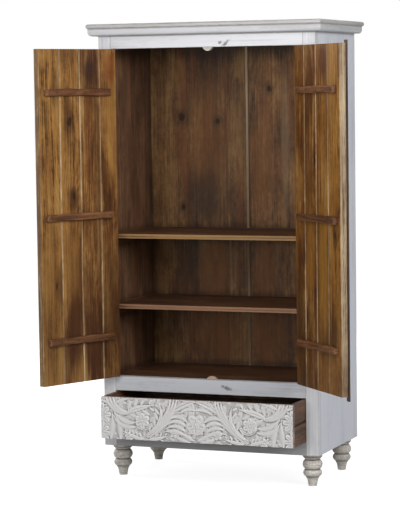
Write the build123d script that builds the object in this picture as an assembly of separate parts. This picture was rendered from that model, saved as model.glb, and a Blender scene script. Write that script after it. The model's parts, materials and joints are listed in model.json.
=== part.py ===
"""A two-door plank armoire (trastero) on turned feet, with two shelves and one deep drawer.

Millimetres. +Z is up and the doors face -Y. The origin lies on the floor, at the centre of the
carcass's footprint. The doors and the drawer are modelled part open, which is their rest place.
"""

from build123d import *
import os

# ---------------------------------------------------------------- carcass
overall_height = 1900.0
carcass_width = 950.0
carcass_depth = 518.0
stile_width = 53.5
frame_thickness = 28.0
bottom_rail_height = 54.0
drawer_opening_height = 181.0
mid_rail_height = 60.0
frieze_height = 52.5
tenon_length = 22.0
tenon_thickness = 10.0
tenon_shoulder = 8.0
side_thickness = 24.0

# ---------------------------------------------------------------- top
slab_thickness = 19.0
slab_overhang = 40.0
slab_rear_overhang = 10.5
slab_nose_radius = 9.0
cornice_height = 30.5
cornice_projection = 34.0
cornice_round = 16.0

# ---------------------------------------------------------------- back, floors and shelves
back_thickness = 16.0
back_recess = 11.0
back_joint_gap = 2.0
back_joint_chamfer = 7.0
back_batten_height = 90.0
floor_thickness = 18.0
floor_step = 3.0
base_panel_thickness = 14.0
base_panel_step = 4.0
shelf_thickness = 18.0
shelf_setback = 34.0
upper_shelf_height = 1026.0
lower_shelf_height = 730.0
cleat_width = 20.0
cleat_height = 25.0
cleat_front_inset = 26.0

# ---------------------------------------------------------------- feet
foot_side_inset = 51.0
foot_front_inset = 69.0
foot_rear_inset = 62.0
foot_tip_radius = 17.0
foot_tip_length = 26.0
foot_taper_radius = 21.5
foot_flare_length = 14.0
foot_flare_radius = 29.0
foot_lower_bead_radius = 38.6
foot_lower_bead_length = 30.0
foot_neck_radius = 29.0
foot_upper_bead_radius = 41.0
foot_upper_bead_length = 40.0
foot_cove_radius = 30.0
foot_cove_length = 12.0
foot_collar_radius = 40.5
foot_collar_length = 13.0
corner_block_width = 90.0
corner_block_length = 100.0
foot_bolt_radius = 4.0
foot_bolt_depth_in_foot = 40.0
foot_bolt_depth_in_block = 30.0

# ---------------------------------------------------------------- doors
left_rest_angle = 113.7
right_rest_angle = 133.4
door_edge_gap = 2.0
door_meeting_gap = 3.0
door_end_gap = 2.0
door_closing_gap = 0.5
hinge_plank_width = 93.0
door_plank_count = 4
tongue_length = 7.0
tongue_thickness = 8.0
tongue_gap = 0.2
plank_chamfer = 5.0
batten_height = 29.0
batten_thickness = 18.0
batten_hinge_inset = 34.0
batten_free_inset = 26.0
batten_end_distance = 176.0
batten_edge_round = 4.0
batten_end_slope = 9.0
batten_screw_hinge_inset = 24.0
batten_screw_free_inset = 56.0
batten_screw_count = 4
cover_strip_width = 22.0
cover_strip_overlap = 8.0
cover_strip_thickness = 7.0
cover_strip_relief = 0.5
cover_strip_above = 12.0
cover_strip_below = 17.5
stop_thickness = 15.0
stop_top_radius = 22.0
stop_top_drop = 15.0
stop_bottom_radius = 27.0
stop_bottom_rise = 14.0

# ---------------------------------------------------------------- hinges
hinge_count = 3
hinge_end_distance = 150.0
hinge_height = 76.0
hinge_leaf_thickness = 2.0
hinge_leaf_width = 22.0
hinge_pin_offset = 7.5
hinge_knuckle_radius = 6.0
hinge_pin_radius = 3.0
hinge_pin_clearance = 0.05
hinge_knuckle_count = 5
hinge_knuckle_gap = 0.3
hinge_screw_count = 3
hinge_screw_inset = 13.0

# ---------------------------------------------------------------- drawer
drawer_rest_extension = 160.5
drawer_depth = 440.0
drawer_side_gap = 1.5
drawer_bottom_gap = 2.0
drawer_top_gap = 5.0
drawer_front_thickness = 22.0
drawer_side_thickness = 14.0
drawer_back_thickness = 12.0
drawer_bottom_thickness = 8.0
drawer_bottom_height = 10.0
drawer_bottom_tongue = 5.0
runner_height = 10.0
runner_tongue = 7.0
runner_gap = 0.3
runner_stop_gap = 0.5
runner_rear_gap = 30.0
spacer_height = 60.0

# ---------------------------------------------------------------- screws
screw_head_radius = 3.5
screw_head_height = 2.0
screw_shank_radius = 1.75
screw_fit = 0.05
batten_screw_bite = 15.0
hinge_screw_length = 16.0
cleat_screw_bite = 14.0
cleat_screw_count = 4
cleat_screw_inset = 40.0
stop_screw_bite = 12.0

# ---------------------------------------------------------------- places worked out from the sizes
front_y = -carcass_depth / 2
rear_y = carcass_depth / 2
frame_back_y = front_y + frame_thickness
half_width = carcass_width / 2
opening_half = half_width - stile_width
inner_half = half_width - side_thickness
foot_neck_z = foot_tip_length + foot_flare_length + foot_lower_bead_length
foot_cove_z = foot_neck_z + foot_upper_bead_length
base_z = foot_cove_z + foot_cove_length + foot_collar_length
bottom_rail_top_z = base_z + bottom_rail_height
drawer_opening_top_z = bottom_rail_top_z + drawer_opening_height
mid_rail_top_z = drawer_opening_top_z + mid_rail_height
top_z = overall_height - slab_thickness
cornice_bottom_z = top_z - cornice_height
top_rail_bottom_z = cornice_bottom_z - frieze_height
back_outer_y = rear_y - back_recess
back_inner_y = back_outer_y - back_thickness
floor_top_z = mid_rail_top_z - floor_step
base_panel_top_z = bottom_rail_top_z - base_panel_step
base_panel_bottom_z = base_panel_top_z - base_panel_thickness

leaf_thickness = frame_thickness - door_closing_gap
leaf_width = opening_half - door_edge_gap - door_meeting_gap / 2
leaf_bottom_z = mid_rail_top_z + door_end_gap
leaf_top_z = top_rail_bottom_z - door_end_gap
leaf_height = leaf_top_z - leaf_bottom_z
leaf_back_y = front_y + leaf_thickness
pin_x = opening_half - door_edge_gap / 2
pin_y = front_y - hinge_pin_offset

drawer_half = opening_half - drawer_side_gap
drawer_bottom_z = bottom_rail_top_z + drawer_bottom_gap
drawer_top_z = drawer_opening_top_z - drawer_top_gap
runner_z = (drawer_bottom_z + drawer_top_z) / 2
runner_rear_y = back_inner_y - runner_rear_gap


# ---------------------------------------------------------------- helpers
def block(x, y, z):
    """A box between two values of x, of y and of z, each given as a pair in any order."""
    spans = [sorted(pair) for pair in (x, y, z)]
    size = [high - low for low, high in spans]
    centre = [(low + high) / 2 for low, high in spans]
    return Pos(*centre) * Box(*size)


def evenly(first, last, count):
    """count values from first to last with equal steps."""
    return [first + (last - first) * index / (count - 1) for index in range(count)]


def screw(place, direction, length, grow=0.0):
    """A countersunk screw driven from place along direction; grow makes the hole that it fits."""
    head = Pos(0, 0, screw_head_height / 2) * Cone(
        screw_head_radius + grow, screw_shank_radius + grow, screw_head_height
    )
    shank_length = length - screw_head_height + grow
    shank = Pos(0, 0, screw_head_height + shank_length / 2) * Cylinder(
        screw_shank_radius + grow, shank_length
    )
    return Plane(origin=place, z_dir=direction).location * (head + shank)


def drilled(piece, screws):
    """piece with the holes of its screws, each given as place, direction and length."""
    holes = [screw(*one, grow=screw_fit) for one in screws]
    return piece - holes


def screw_group(screws):
    """Identical screws as one group of separate solids."""
    return Compound(children=[screw(*one) for one in screws])


def save(name, shape):
    """Write one sub-part to its own STEP file."""
    export_step(shape, f"parts/{name}.step")


# ---------------------------------------------------------------- hinges
def hinge_heights():
    """Centre height of each butt hinge on a door."""
    return evenly(leaf_bottom_z + hinge_end_distance, leaf_top_z - hinge_end_distance, hinge_count)


def hinge_mortise(side, height, on_frame):
    """The pocket that a hinge leaf lies in: in the stile's edge, or in the closed door's edge."""
    edge = opening_half if on_frame else opening_half - door_edge_gap
    inward = hinge_leaf_thickness if on_frame else -hinge_leaf_thickness
    return block(
        (side * edge, side * (edge + inward)),
        (front_y, front_y + hinge_leaf_width),
        (height - hinge_height / 2, height + hinge_height / 2),
    )


def hinge_screws(side, height, on_frame):
    """Place, direction and length of the screws of one hinge leaf."""
    edge = opening_half if on_frame else opening_half - door_edge_gap
    direction = (side, 0, 0) if on_frame else (-side, 0, 0)
    reach = hinge_height / 2 - hinge_screw_inset
    return [
        ((side * edge, front_y + hinge_leaf_width / 2, z), direction, hinge_screw_length)
        for z in evenly(height - reach, height + reach, hinge_screw_count)
    ]


def hinge_leaf(side, height, on_frame):
    """One hinge leaf with its own knuckles: the frame's leaf has the first and last of them."""
    pitch = hinge_height / hinge_knuckle_count
    bottom = height - hinge_height / 2
    plate = hinge_mortise(side, height, on_frame)
    edge = opening_half if on_frame else opening_half - door_edge_gap
    inward = hinge_leaf_thickness if on_frame else -hinge_leaf_thickness
    first = 0 if on_frame else 1
    leaf = plate
    for index in range(first, hinge_knuckle_count, 2):
        low = bottom + index * pitch + hinge_knuckle_gap / 2
        high = bottom + (index + 1) * pitch - hinge_knuckle_gap / 2
        middle = (low + high) / 2
        leaf += block((side * edge, side * (edge + inward)), (pin_y, front_y), (low, high))
        leaf += Pos(side * pin_x, pin_y, middle) * Cylinder(hinge_knuckle_radius, high - low)
    bore = Cylinder(hinge_pin_radius + hinge_pin_clearance, hinge_height + 2 * hinge_knuckle_gap)
    leaf -= Pos(side * pin_x, pin_y, height) * bore
    return drilled(leaf, hinge_screws(side, height, on_frame))


def hinge_pin(side, height):
    """The pin of one hinge."""
    return Pos(side * pin_x, pin_y, height) * Cylinder(hinge_pin_radius, hinge_height)


# ---------------------------------------------------------------- face frame
RAILS = {
    "top_rail": (top_rail_bottom_z, top_z),
    "mid_rail": (drawer_opening_top_z, mid_rail_top_z),
    "bottom_rail": (base_z, bottom_rail_top_z),
}


def tenon(side, low, high):
    """The tenon at one end of a rail that spans from low to high."""
    middle = (front_y + frame_back_y) / 2
    return block(
        (side * opening_half, side * (opening_half + tenon_length)),
        (middle - tenon_thickness / 2, middle + tenon_thickness / 2),
        (low + tenon_shoulder, high - tenon_shoulder),
    )


def rail(low, high):
    """A rail of the face frame with a tenon at each end."""
    body = block((-opening_half, opening_half), (front_y, frame_back_y), (low, high))
    return body + tenon(-1, low, high) + tenon(1, low, high)


def stile(side):
    """An upright of the face frame, with the rails' mortises and the hinge pockets."""
    body = block((side * opening_half, side * half_width), (front_y, frame_back_y), (base_z, top_z))
    body -= [tenon(side, low, high) for low, high in RAILS.values()]
    body -= [hinge_mortise(side, height, True) for height in hinge_heights()]
    holes = [one for height in hinge_heights() for one in hinge_screws(side, height, True)]
    return drilled(body, holes)


def stop_screw(top):
    """The one screw that holds a door stop: into the rail behind the frieze, or into the floor."""
    if top:
        place = (0, frame_back_y + stop_thickness, top_rail_bottom_z + stop_top_radius / 2)
        return (place, (0, -1, 0), stop_thickness + stop_screw_bite)
    place = (0, frame_back_y + stop_thickness / 2, floor_top_z + stop_bottom_rise)
    return (place, (0, 0, -1), stop_bottom_rise + stop_screw_bite)


def door_stop_top():
    """A round wooden stop on the back of the top rail; its lower part shows in the opening."""
    centre_z = top_rail_bottom_z - stop_top_drop + stop_top_radius
    disc = Cylinder(stop_top_radius, stop_thickness, rotation=(90, 0, 0))
    placed = Pos(0, frame_back_y + stop_thickness / 2, centre_z) * disc
    return drilled(placed, [stop_screw(True)])


def door_stop_bottom():
    """The stop of the doors' lower ends: the top of a disc, cut flat where it stands on the floor."""
    centre_z = floor_top_z + stop_bottom_rise - stop_bottom_radius
    disc = Cylinder(stop_bottom_radius, stop_thickness, rotation=(90, 0, 0))
    placed = Pos(0, frame_back_y + stop_thickness / 2, centre_z) * disc
    above_floor = block(
        (-stop_bottom_radius, stop_bottom_radius),
        (frame_back_y, frame_back_y + stop_thickness),
        (floor_top_z, floor_top_z + stop_bottom_rise),
    )
    return drilled(placed & above_floor, [stop_screw(False)])


# ---------------------------------------------------------------- sides, back, floors and shelves
SHELVES = {"upper": upper_shelf_height, "lower": lower_shelf_height}
cleat_front_y = frame_back_y + cleat_front_inset


def cleat_screws(side, shelf_top):
    """Screws of one shelf cleat, driven through it into the side."""
    z = shelf_top - shelf_thickness - cleat_height / 2
    x = side * (inner_half - cleat_width)
    rows = evenly(cleat_front_y + cleat_screw_inset, back_inner_y - cleat_screw_inset, cleat_screw_count)
    return [((x, y, z), (side, 0, 0), cleat_width + cleat_screw_bite) for y in rows]


def spacer_screws(side):
    """Screws of one drawer runner, through the runner and its spacer into the side."""
    x = side * (drawer_half - runner_tongue)
    depth = inner_half - drawer_half + runner_tongue + cleat_screw_bite
    rows = evenly(frame_back_y + cleat_screw_inset, runner_rear_y - cleat_screw_inset, cleat_screw_count)
    return [((x, y, runner_z), (side, 0, 0), depth) for y in rows]


def carcass_screws(side):
    """Every screw that enters one side panel."""
    screws = [one for top in SHELVES.values() for one in cleat_screws(side, top)]
    return screws + spacer_screws(side)


def side_panel(side):
    """A glued-up side, from the face frame to the back edge."""
    body = block((side * inner_half, side * half_width), (frame_back_y, rear_y), (base_z, top_z))
    return drilled(body, carcass_screws(side))


def back_panel(side):
    """One half of the back, with a chamfer along the open joint at the centre."""
    joint = side * back_joint_gap / 2
    outline = Polyline(
        (side * inner_half, back_inner_y),
        (joint + side * back_joint_chamfer, back_inner_y),
        (joint, back_inner_y + back_joint_chamfer),
        (joint, back_outer_y),
        (side * inner_half, back_outer_y),
        close=True,
    )
    return Pos(0, 0, base_z) * extrude(make_face(outline), amount=top_z - base_z, dir=(0, 0, 1))


def back_batten(low):
    """A board across the outside of the back, between the sides."""
    return block((-inner_half, inner_half), (back_outer_y, rear_y), (low, low + back_batten_height))


def panel_across(front, top, thickness):
    """A horizontal board between the sides, from front to the back."""
    return block((-inner_half, inner_half), (front, back_inner_y), (top - thickness, top))


def shelf_cleat(side, shelf_top):
    """The strip that carries one end of a shelf."""
    shelf_bottom = shelf_top - shelf_thickness
    body = block(
        (side * inner_half, side * (inner_half - cleat_width)),
        (cleat_front_y, back_inner_y),
        (shelf_bottom - cleat_height, shelf_bottom),
    )
    return drilled(body, cleat_screws(side, shelf_top))


def drawer_spacer(side):
    """The packing board that brings the runner level with the edge of the opening."""
    body = block(
        (side * opening_half, side * inner_half),
        (frame_back_y, back_inner_y),
        (runner_z - spacer_height / 2, runner_z + spacer_height / 2),
    )
    return drilled(body, spacer_screws(side))


def drawer_runner(side):
    """The strip that the drawer's side slides on; its front end stops the closed drawer's front."""
    body = block(
        (side * opening_half, side * (drawer_half - runner_tongue)),
        (front_y + drawer_front_thickness + runner_stop_gap, runner_rear_y),
        (runner_z - runner_height / 2, runner_z + runner_height / 2),
    )
    return drilled(body, spacer_screws(side))


# ---------------------------------------------------------------- top slab and cornice
def top_slab():
    """The top board, with a rounded nose on its front and both ends."""
    body = block(
        (-half_width - slab_overhang, half_width + slab_overhang),
        (front_y - slab_overhang, rear_y + slab_rear_overhang),
        (top_z, overall_height),
    )
    long_edges = body.edges().filter_by(Plane.XY)
    nose = long_edges - long_edges.group_by(Axis.Y)[-1]
    return fillet(nose, slab_nose_radius)


def cornice_profile():
    """Section of the cornice: distance out from the carcass and height above its lower edge."""
    lower = Line((0, 0), (cornice_projection - cornice_round, 0))
    turn = TangentArc(lower @ 1, (cornice_projection, cornice_round), tangent=(1, 0))
    upper = Polyline(turn @ 1, (cornice_projection, cornice_height), (0, cornice_height), (0, 0))
    return make_face(lower + turn + upper)


def cornice_front():
    """The front length of the cornice, mitred at both ends."""
    reach = half_width + cornice_projection
    strip = extrude(Plane.YZ * mirror(cornice_profile(), about=Plane.YZ), amount=reach, both=True)
    placed = Pos(0, front_y, cornice_bottom_z) * strip
    plan = Polyline(
        (-reach, front_y - cornice_projection),
        (reach, front_y - cornice_projection),
        (half_width, front_y),
        (-half_width, front_y),
        close=True,
    )
    return placed & extrude(Pos(0, 0, cornice_bottom_z) * make_face(plan), cornice_height)


def cornice_side(side):
    """A side length of the cornice, mitred at its front end."""
    reach = half_width + cornice_projection
    section = cornice_profile() if side > 0 else mirror(cornice_profile(), about=Plane.YZ)
    length = carcass_depth + cornice_projection
    upright = Plane(origin=(side * half_width, rear_y, cornice_bottom_z), x_dir=(1, 0, 0), z_dir=(0, -1, 0))
    strip = extrude(upright * section, amount=length)
    plan = Polyline(
        (side * half_width, front_y),
        (side * reach, front_y - cornice_projection),
        (side * reach, rear_y),
        (side * half_width, rear_y),
        close=True,
    )
    return strip & extrude(Pos(0, 0, cornice_bottom_z) * make_face(plan), cornice_height)


# ---------------------------------------------------------------- feet
foot_places = {
    f"{end}_{hand}": (side * (half_width - foot_side_inset), y)
    for end, y in (("front", front_y + foot_front_inset), ("rear", rear_y - foot_rear_inset))
    for hand, side in (("left", -1), ("right", 1))
}


def turned_foot(x, y):
    """A turned foot: a tapered tip, two round beads with a neck between them, and a collar."""
    lower_bead_z = foot_neck_z - foot_lower_bead_length / 2
    upper_bead_z = foot_cove_z - foot_upper_bead_length / 2
    tip = Polyline(
        (0, 0),
        (foot_tip_radius, 0),
        (foot_taper_radius, foot_tip_length),
        (foot_flare_radius, foot_tip_length + foot_flare_length),
    )
    lower_bead = ThreePointArc(
        tip @ 1, (foot_lower_bead_radius, lower_bead_z), (foot_neck_radius, foot_neck_z)
    )
    upper_bead = ThreePointArc(
        lower_bead @ 1, (foot_upper_bead_radius, upper_bead_z), (foot_cove_radius, foot_cove_z)
    )
    collar = Polyline(
        upper_bead @ 1,
        (foot_collar_radius, base_z - foot_collar_length),
        (foot_collar_radius, base_z),
        (0, base_z),
        (0, 0),
    )
    section = Plane.XZ * make_face(tip + lower_bead + upper_bead + collar)
    body = revolve(section, Axis.Z)
    bore = Cylinder(foot_bolt_radius + screw_fit, foot_bolt_depth_in_foot)
    body -= Pos(0, 0, base_z - foot_bolt_depth_in_foot / 2) * bore
    return Pos(x, y, 0) * body


def corner_block(x, y):
    """The block inside a lower corner that its foot is bolted to."""
    side = 1 if x > 0 else -1
    inward = 1 if y < 0 else -1
    edge = frame_back_y if y < 0 else back_inner_y
    body = block(
        (side * inner_half, side * (inner_half - corner_block_width)),
        (edge, edge + inward * corner_block_length),
        (base_z, base_panel_bottom_z),
    )
    bore = Cylinder(foot_bolt_radius + screw_fit, foot_bolt_depth_in_block)
    return body - Pos(x, y, base_z + foot_bolt_depth_in_block / 2) * bore


def foot_bolt(x, y):
    """The hanger bolt between a foot and its corner block."""
    low = base_z - foot_bolt_depth_in_foot
    length = foot_bolt_depth_in_foot + foot_bolt_depth_in_block
    return Pos(x, y, low + length / 2) * Cylinder(foot_bolt_radius, length)


# ---------------------------------------------------------------- doors, built closed
def leaf_x(side, u):
    """x of a point u from the closed leaf's hinge edge."""
    return side * (opening_half - door_edge_gap - u)


def swung(side, shape):
    """shape turned with its door from closed to its rest opening."""
    angle = right_rest_angle if side > 0 else -left_rest_angle
    pin_axis = Axis((side * pin_x, pin_y, 0), (0, 0, 1))
    return shape.rotate(pin_axis, angle)


def plank_edges():
    """Distances of the plank joints from the hinge edge, with both edges of the leaf."""
    return [0.0] + evenly(hinge_plank_width, leaf_width, door_plank_count)


def batten_heights():
    """Centre height of each batten, from the top."""
    top = leaf_top_z - batten_end_distance
    bottom = leaf_bottom_z + batten_end_distance
    return {"top": top, "middle": (top + bottom) / 2, "bottom": bottom}


def batten_screws(side, height):
    """Screws of one batten, driven from inside into the planks."""
    first = batten_hinge_inset + batten_screw_hinge_inset
    last = leaf_width - batten_free_inset - batten_screw_free_inset
    length = batten_thickness + batten_screw_bite
    face = leaf_back_y + batten_thickness
    return [
        ((leaf_x(side, u), face, height), (0, -1, 0), length)
        for u in evenly(first, last, batten_screw_count)
    ]


def all_batten_screws(side):
    """Screws of the three battens of one door."""
    return [one for height in batten_heights().values() for one in batten_screws(side, height)]


def plank(side, index):
    """One board of a closed door: a groove on its hinge side, a tongue on the other."""
    start, end = plank_edges()[index:index + 2]
    thickness, chamfer_size = leaf_thickness, plank_chamfer
    middle = thickness / 2 - plank_chamfer / 2
    low, high = middle - tongue_thickness / 2, middle + tongue_thickness / 2
    points = [(start, 0), (end, 0)]
    if index < door_plank_count - 1:
        points += [(end, low), (end + tongue_length, low), (end + tongue_length, high), (end, high)]
        points += [(end, thickness - chamfer_size), (end - chamfer_size, thickness)]
    else:
        points += [(end, thickness)]
    if index > 0:
        deep = start + tongue_length + tongue_gap
        points += [(start + chamfer_size, thickness), (start, thickness - chamfer_size)]
        points += [(start, high + tongue_gap), (deep, high + tongue_gap)]
        points += [(deep, low - tongue_gap), (start, low - tongue_gap)]
    else:
        points += [(start, thickness)]
    outline = Polyline(*[(leaf_x(side, u), front_y + v) for u, v in points], close=True)
    board = Pos(0, 0, leaf_bottom_z) * extrude(make_face(outline), leaf_height, dir=(0, 0, 1))
    holes = [one for one in all_batten_screws(side) if start < abs(one[0][0] - leaf_x(side, 0)) < end]
    if index == 0:
        board -= [hinge_mortise(side, height, False) for height in hinge_heights()]
        holes += [one for height in hinge_heights() for one in hinge_screws(side, height, False)]
    return drilled(board, holes)


def batten(side, height):
    """A bar across the inside of a door, rounded along its length and sloped at its ends."""
    body = block(
        (leaf_x(side, batten_hinge_inset), leaf_x(side, leaf_width - batten_free_inset)),
        (leaf_back_y, leaf_back_y + batten_thickness),
        (height - batten_height / 2, height + batten_height / 2),
    )
    inner_edges = body.faces().sort_by(Axis.Y)[-1].edges()
    ends = inner_edges.filter_by(Axis.Z)
    sloped = chamfer(ends, batten_end_slope)
    long_edges = sloped.faces().sort_by(Axis.Y)[-1].edges().filter_by(Axis.X)
    rounded = fillet(long_edges, batten_edge_round)
    return drilled(rounded, batten_screws(side, height))


def cover_strip(side):
    """The strip on the outer face of one door that covers the gap between the closed doors."""
    outer = front_y - cover_strip_thickness
    relieved = front_y - cover_strip_relief
    inner_u = leaf_width + cover_strip_overlap - cover_strip_width
    bar = block(
        (leaf_x(side, inner_u), leaf_x(side, leaf_width + cover_strip_overlap)),
        (outer, relieved),
        (leaf_bottom_z - cover_strip_below, leaf_top_z + cover_strip_above),
    )
    seat = block(
        (leaf_x(side, inner_u), leaf_x(side, leaf_width)),
        (relieved, front_y),
        (leaf_bottom_z, leaf_top_z),
    )
    return bar + seat


def door_hinge_leaves(side):
    """The hinge leaves that are fixed to one closed door."""
    return Compound(children=[hinge_leaf(side, height, False) for height in hinge_heights()])


def door_screws(side):
    """Every screw that turns with a door."""
    hinge = [one for height in hinge_heights() for one in hinge_screws(side, height, False)]
    return screw_group(hinge + all_batten_screws(side))


# ---------------------------------------------------------------- drawer, built closed
drawer_inner_half = drawer_half - drawer_side_thickness
drawer_rear_y = front_y + drawer_depth
panel_bottom_z = drawer_bottom_z + drawer_bottom_height
panel_top_z = panel_bottom_z + drawer_bottom_thickness


def pulled(shape):
    """shape moved with the drawer from closed to its rest extension."""
    return Pos(0, -drawer_rest_extension, 0) * shape


def drawer_bottom():
    """The drawer's bottom, held in grooves of the front and the sides, and under the back."""
    reach = drawer_inner_half + drawer_bottom_tongue
    start = front_y + drawer_front_thickness - drawer_bottom_tongue
    return block((-reach, reach), (start, drawer_rear_y), (panel_bottom_z, panel_top_z))


def drawer_front():
    """The drawer's front board, with the groove of the bottom."""
    body = block(
        (-drawer_half, drawer_half),
        (front_y, front_y + drawer_front_thickness),
        (drawer_bottom_z, drawer_top_z),
    )
    return body - drawer_bottom()


def drawer_side(side):
    """A drawer side, with the runner's groove outside and the bottom's groove inside."""
    body = block(
        (side * drawer_inner_half, side * drawer_half),
        (front_y + drawer_front_thickness, drawer_rear_y),
        (drawer_bottom_z, drawer_top_z),
    )
    groove = block(
        (side * (drawer_half - runner_tongue - runner_gap), side * drawer_half),
        (front_y + drawer_front_thickness, drawer_rear_y),
        (runner_z - runner_height / 2 - runner_gap, runner_z + runner_height / 2 + runner_gap),
    )
    return body - groove - drawer_bottom()


def drawer_back():
    """The drawer's back, between the sides and on top of the bottom."""
    return block(
        (-drawer_inner_half, drawer_inner_half),
        (drawer_rear_y - drawer_back_thickness, drawer_rear_y),
        (panel_top_z, drawer_top_z),
    )


# ---------------------------------------------------------------- writing the sub-parts
HANDS = {"left": -1, "right": 1}


def write_carcass():
    """Everything that stands still."""
    for name, (low, high) in RAILS.items():
        body = rail(low, high)
        save(name, drilled(body, [stop_screw(True)]) if name == "top_rail" else body)
    for hand, side in HANDS.items():
        save(f"stile_{hand}", stile(side))
        save(f"side_panel_{hand}", side_panel(side))
        save(f"back_panel_{hand}", back_panel(side))
        save(f"drawer_spacer_{hand}", drawer_spacer(side))
        save(f"drawer_runner_{hand}", drawer_runner(side))
        save(f"cornice_{hand}", cornice_side(side))
    frame_leaves = [
        hinge_leaf(side, height, True) for side in HANDS.values() for height in hinge_heights()
    ]
    save("frame_hinge_leaves", Compound(children=frame_leaves))
    save("cornice_front", cornice_front())
    save("top_slab", top_slab())
    save("back_battens", Compound(children=[back_batten(base_z), back_batten(top_z - back_batten_height)]))
    floor = panel_across(frame_back_y, floor_top_z, floor_thickness)
    save("cabinet_floor", drilled(floor, [stop_screw(False)]))
    save("base_panel", panel_across(frame_back_y, base_panel_top_z, base_panel_thickness))
    for name, top in SHELVES.items():
        save(f"shelf_{name}", panel_across(front_y + shelf_setback, top, shelf_thickness))
    cleats = [shelf_cleat(side, top) for side in HANDS.values() for top in SHELVES.values()]
    save("shelf_cleats", Compound(children=cleats))
    save("carcass_screws", screw_group(carcass_screws(-1) + carcass_screws(1)))
    save("door_stop_top", door_stop_top())
    save("door_stop_bottom", door_stop_bottom())
    save("door_stop_screws", screw_group([stop_screw(True), stop_screw(False)]))
    frame_screws = [
        one
        for side in HANDS.values()
        for height in hinge_heights()
        for one in hinge_screws(side, height, True)
    ]
    save("frame_hinge_screws", screw_group(frame_screws))
    pins = [hinge_pin(side, height) for side in HANDS.values() for height in hinge_heights()]
    save("hinge_pins", Compound(children=pins))


def write_feet():
    """The four feet with their bolts and corner blocks."""
    for name, (x, y) in foot_places.items():
        save(f"foot_{name}", turned_foot(x, y))
    save("corner_blocks", Compound(children=[corner_block(x, y) for x, y in foot_places.values()]))
    save("foot_bolts", Compound(children=[foot_bolt(x, y) for x, y in foot_places.values()]))


def write_doors():
    """Both doors at their rest opening."""
    for hand, side in HANDS.items():
        for index in range(door_plank_count):
            save(f"{hand}_door_plank_{index + 1}", swung(side, plank(side, index)))
        for name, height in batten_heights().items():
            save(f"{hand}_door_batten_{name}", swung(side, batten(side, height)))
        save(f"{hand}_door_hinge_leaves", swung(side, door_hinge_leaves(side)))
        save(f"{hand}_door_screws", swung(side, door_screws(side)))
    save("right_door_cover_strip", swung(1, cover_strip(1)))


def write_drawer():
    """The drawer at its rest extension."""
    save("drawer_front", pulled(drawer_front()))
    save("drawer_back", pulled(drawer_back()))
    save("drawer_bottom", pulled(drawer_bottom()))
    for hand, side in HANDS.items():
        save(f"drawer_side_{hand}", pulled(drawer_side(side)))


os.makedirs("parts", exist_ok=True)
write_carcass()
write_feet()
write_doors()
write_drawer()
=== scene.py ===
"""Looks of a two-door armoire with plank doors, a carved drawer front and turned feet.

Sizes are millimetres where a name or a comment says so; meshes are metres in the frame's axes.
"""

import json
import logging
import math
from dataclasses import dataclass, field, replace
from enum import Enum
from typing import ClassVar

import bpy
import numpy as np
from mathutils import Matrix, Vector
from numpy.typing import ArrayLike


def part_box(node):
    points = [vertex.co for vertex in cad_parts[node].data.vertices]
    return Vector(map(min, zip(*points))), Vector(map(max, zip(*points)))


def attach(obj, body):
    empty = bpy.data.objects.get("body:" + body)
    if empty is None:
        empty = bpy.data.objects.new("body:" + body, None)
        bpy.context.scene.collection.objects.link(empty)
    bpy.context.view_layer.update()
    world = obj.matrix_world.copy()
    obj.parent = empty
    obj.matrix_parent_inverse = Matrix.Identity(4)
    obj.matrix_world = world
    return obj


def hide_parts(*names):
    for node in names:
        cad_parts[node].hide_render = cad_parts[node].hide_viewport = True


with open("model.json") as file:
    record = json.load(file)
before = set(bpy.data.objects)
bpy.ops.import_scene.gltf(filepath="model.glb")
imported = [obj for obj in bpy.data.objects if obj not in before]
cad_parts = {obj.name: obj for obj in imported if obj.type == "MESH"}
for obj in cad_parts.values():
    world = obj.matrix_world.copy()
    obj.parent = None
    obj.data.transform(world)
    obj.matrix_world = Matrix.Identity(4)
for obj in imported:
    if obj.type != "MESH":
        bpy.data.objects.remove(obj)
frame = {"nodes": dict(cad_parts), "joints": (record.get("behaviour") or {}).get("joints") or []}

MM = 0.001
Socket = bpy.types.NodeSocket
Triple = tuple[float, float, float]
Points = list[tuple[float, float]]
Value = Socket | float | Triple | str  # what feeds a shader: a link, a number, a place or a hex colour
SHARP = math.radians(38)  # edges that bend more than this are shaded sharp
log = logging.getLogger("armoire")


# ------------------------------------------------------------------ colours and nodes
def linear(code: str) -> tuple[float, float, float, float]:
    """Turns an sRGB hex colour into the linear RGBA that shaders take.

    Args:
        code: six hex digits, such as "c8b49a".

    Returns:
        Linear red, green, blue and an alpha of 1.
    """
    shares = [int(code[at:at + 2], 16) / 255 for at in (0, 2, 4)]
    lit = [c / 12.92 if c <= 0.04045 else ((c + 0.055) / 1.055) ** 2.4 for c in shares]
    return (*lit, 1.0)


def add_node(tree: bpy.types.NodeTree, kind: str, inputs: dict | None = None, stops: list | None = None,
             **settings: object) -> bpy.types.Node:
    """Adds one node with its settings, its values and its links.

    Args:
        tree: the node tree that gets the node.
        kind: Blender's name of the node type.
        inputs: socket name or number to a value, or to the output socket that feeds it.
        stops: for a colour ramp, pairs of position and colour.
        settings: properties of the node itself.

    Returns:
        The new node.
    """
    made = tree.nodes.new(kind)
    for name, value in settings.items():
        setattr(made, name, value)
    for name, value in (inputs or {}).items():
        if isinstance(value, Socket):
            tree.links.new(value, made.inputs[name])
        else:
            made.inputs[name].default_value = value
    if stops:
        ramp = made.color_ramp
        while len(ramp.elements) < len(stops):
            ramp.elements.new(1.0)
        for element, (place, colour) in zip(ramp.elements, stops):
            element.position = place
            element.color = colour
    return made


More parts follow.
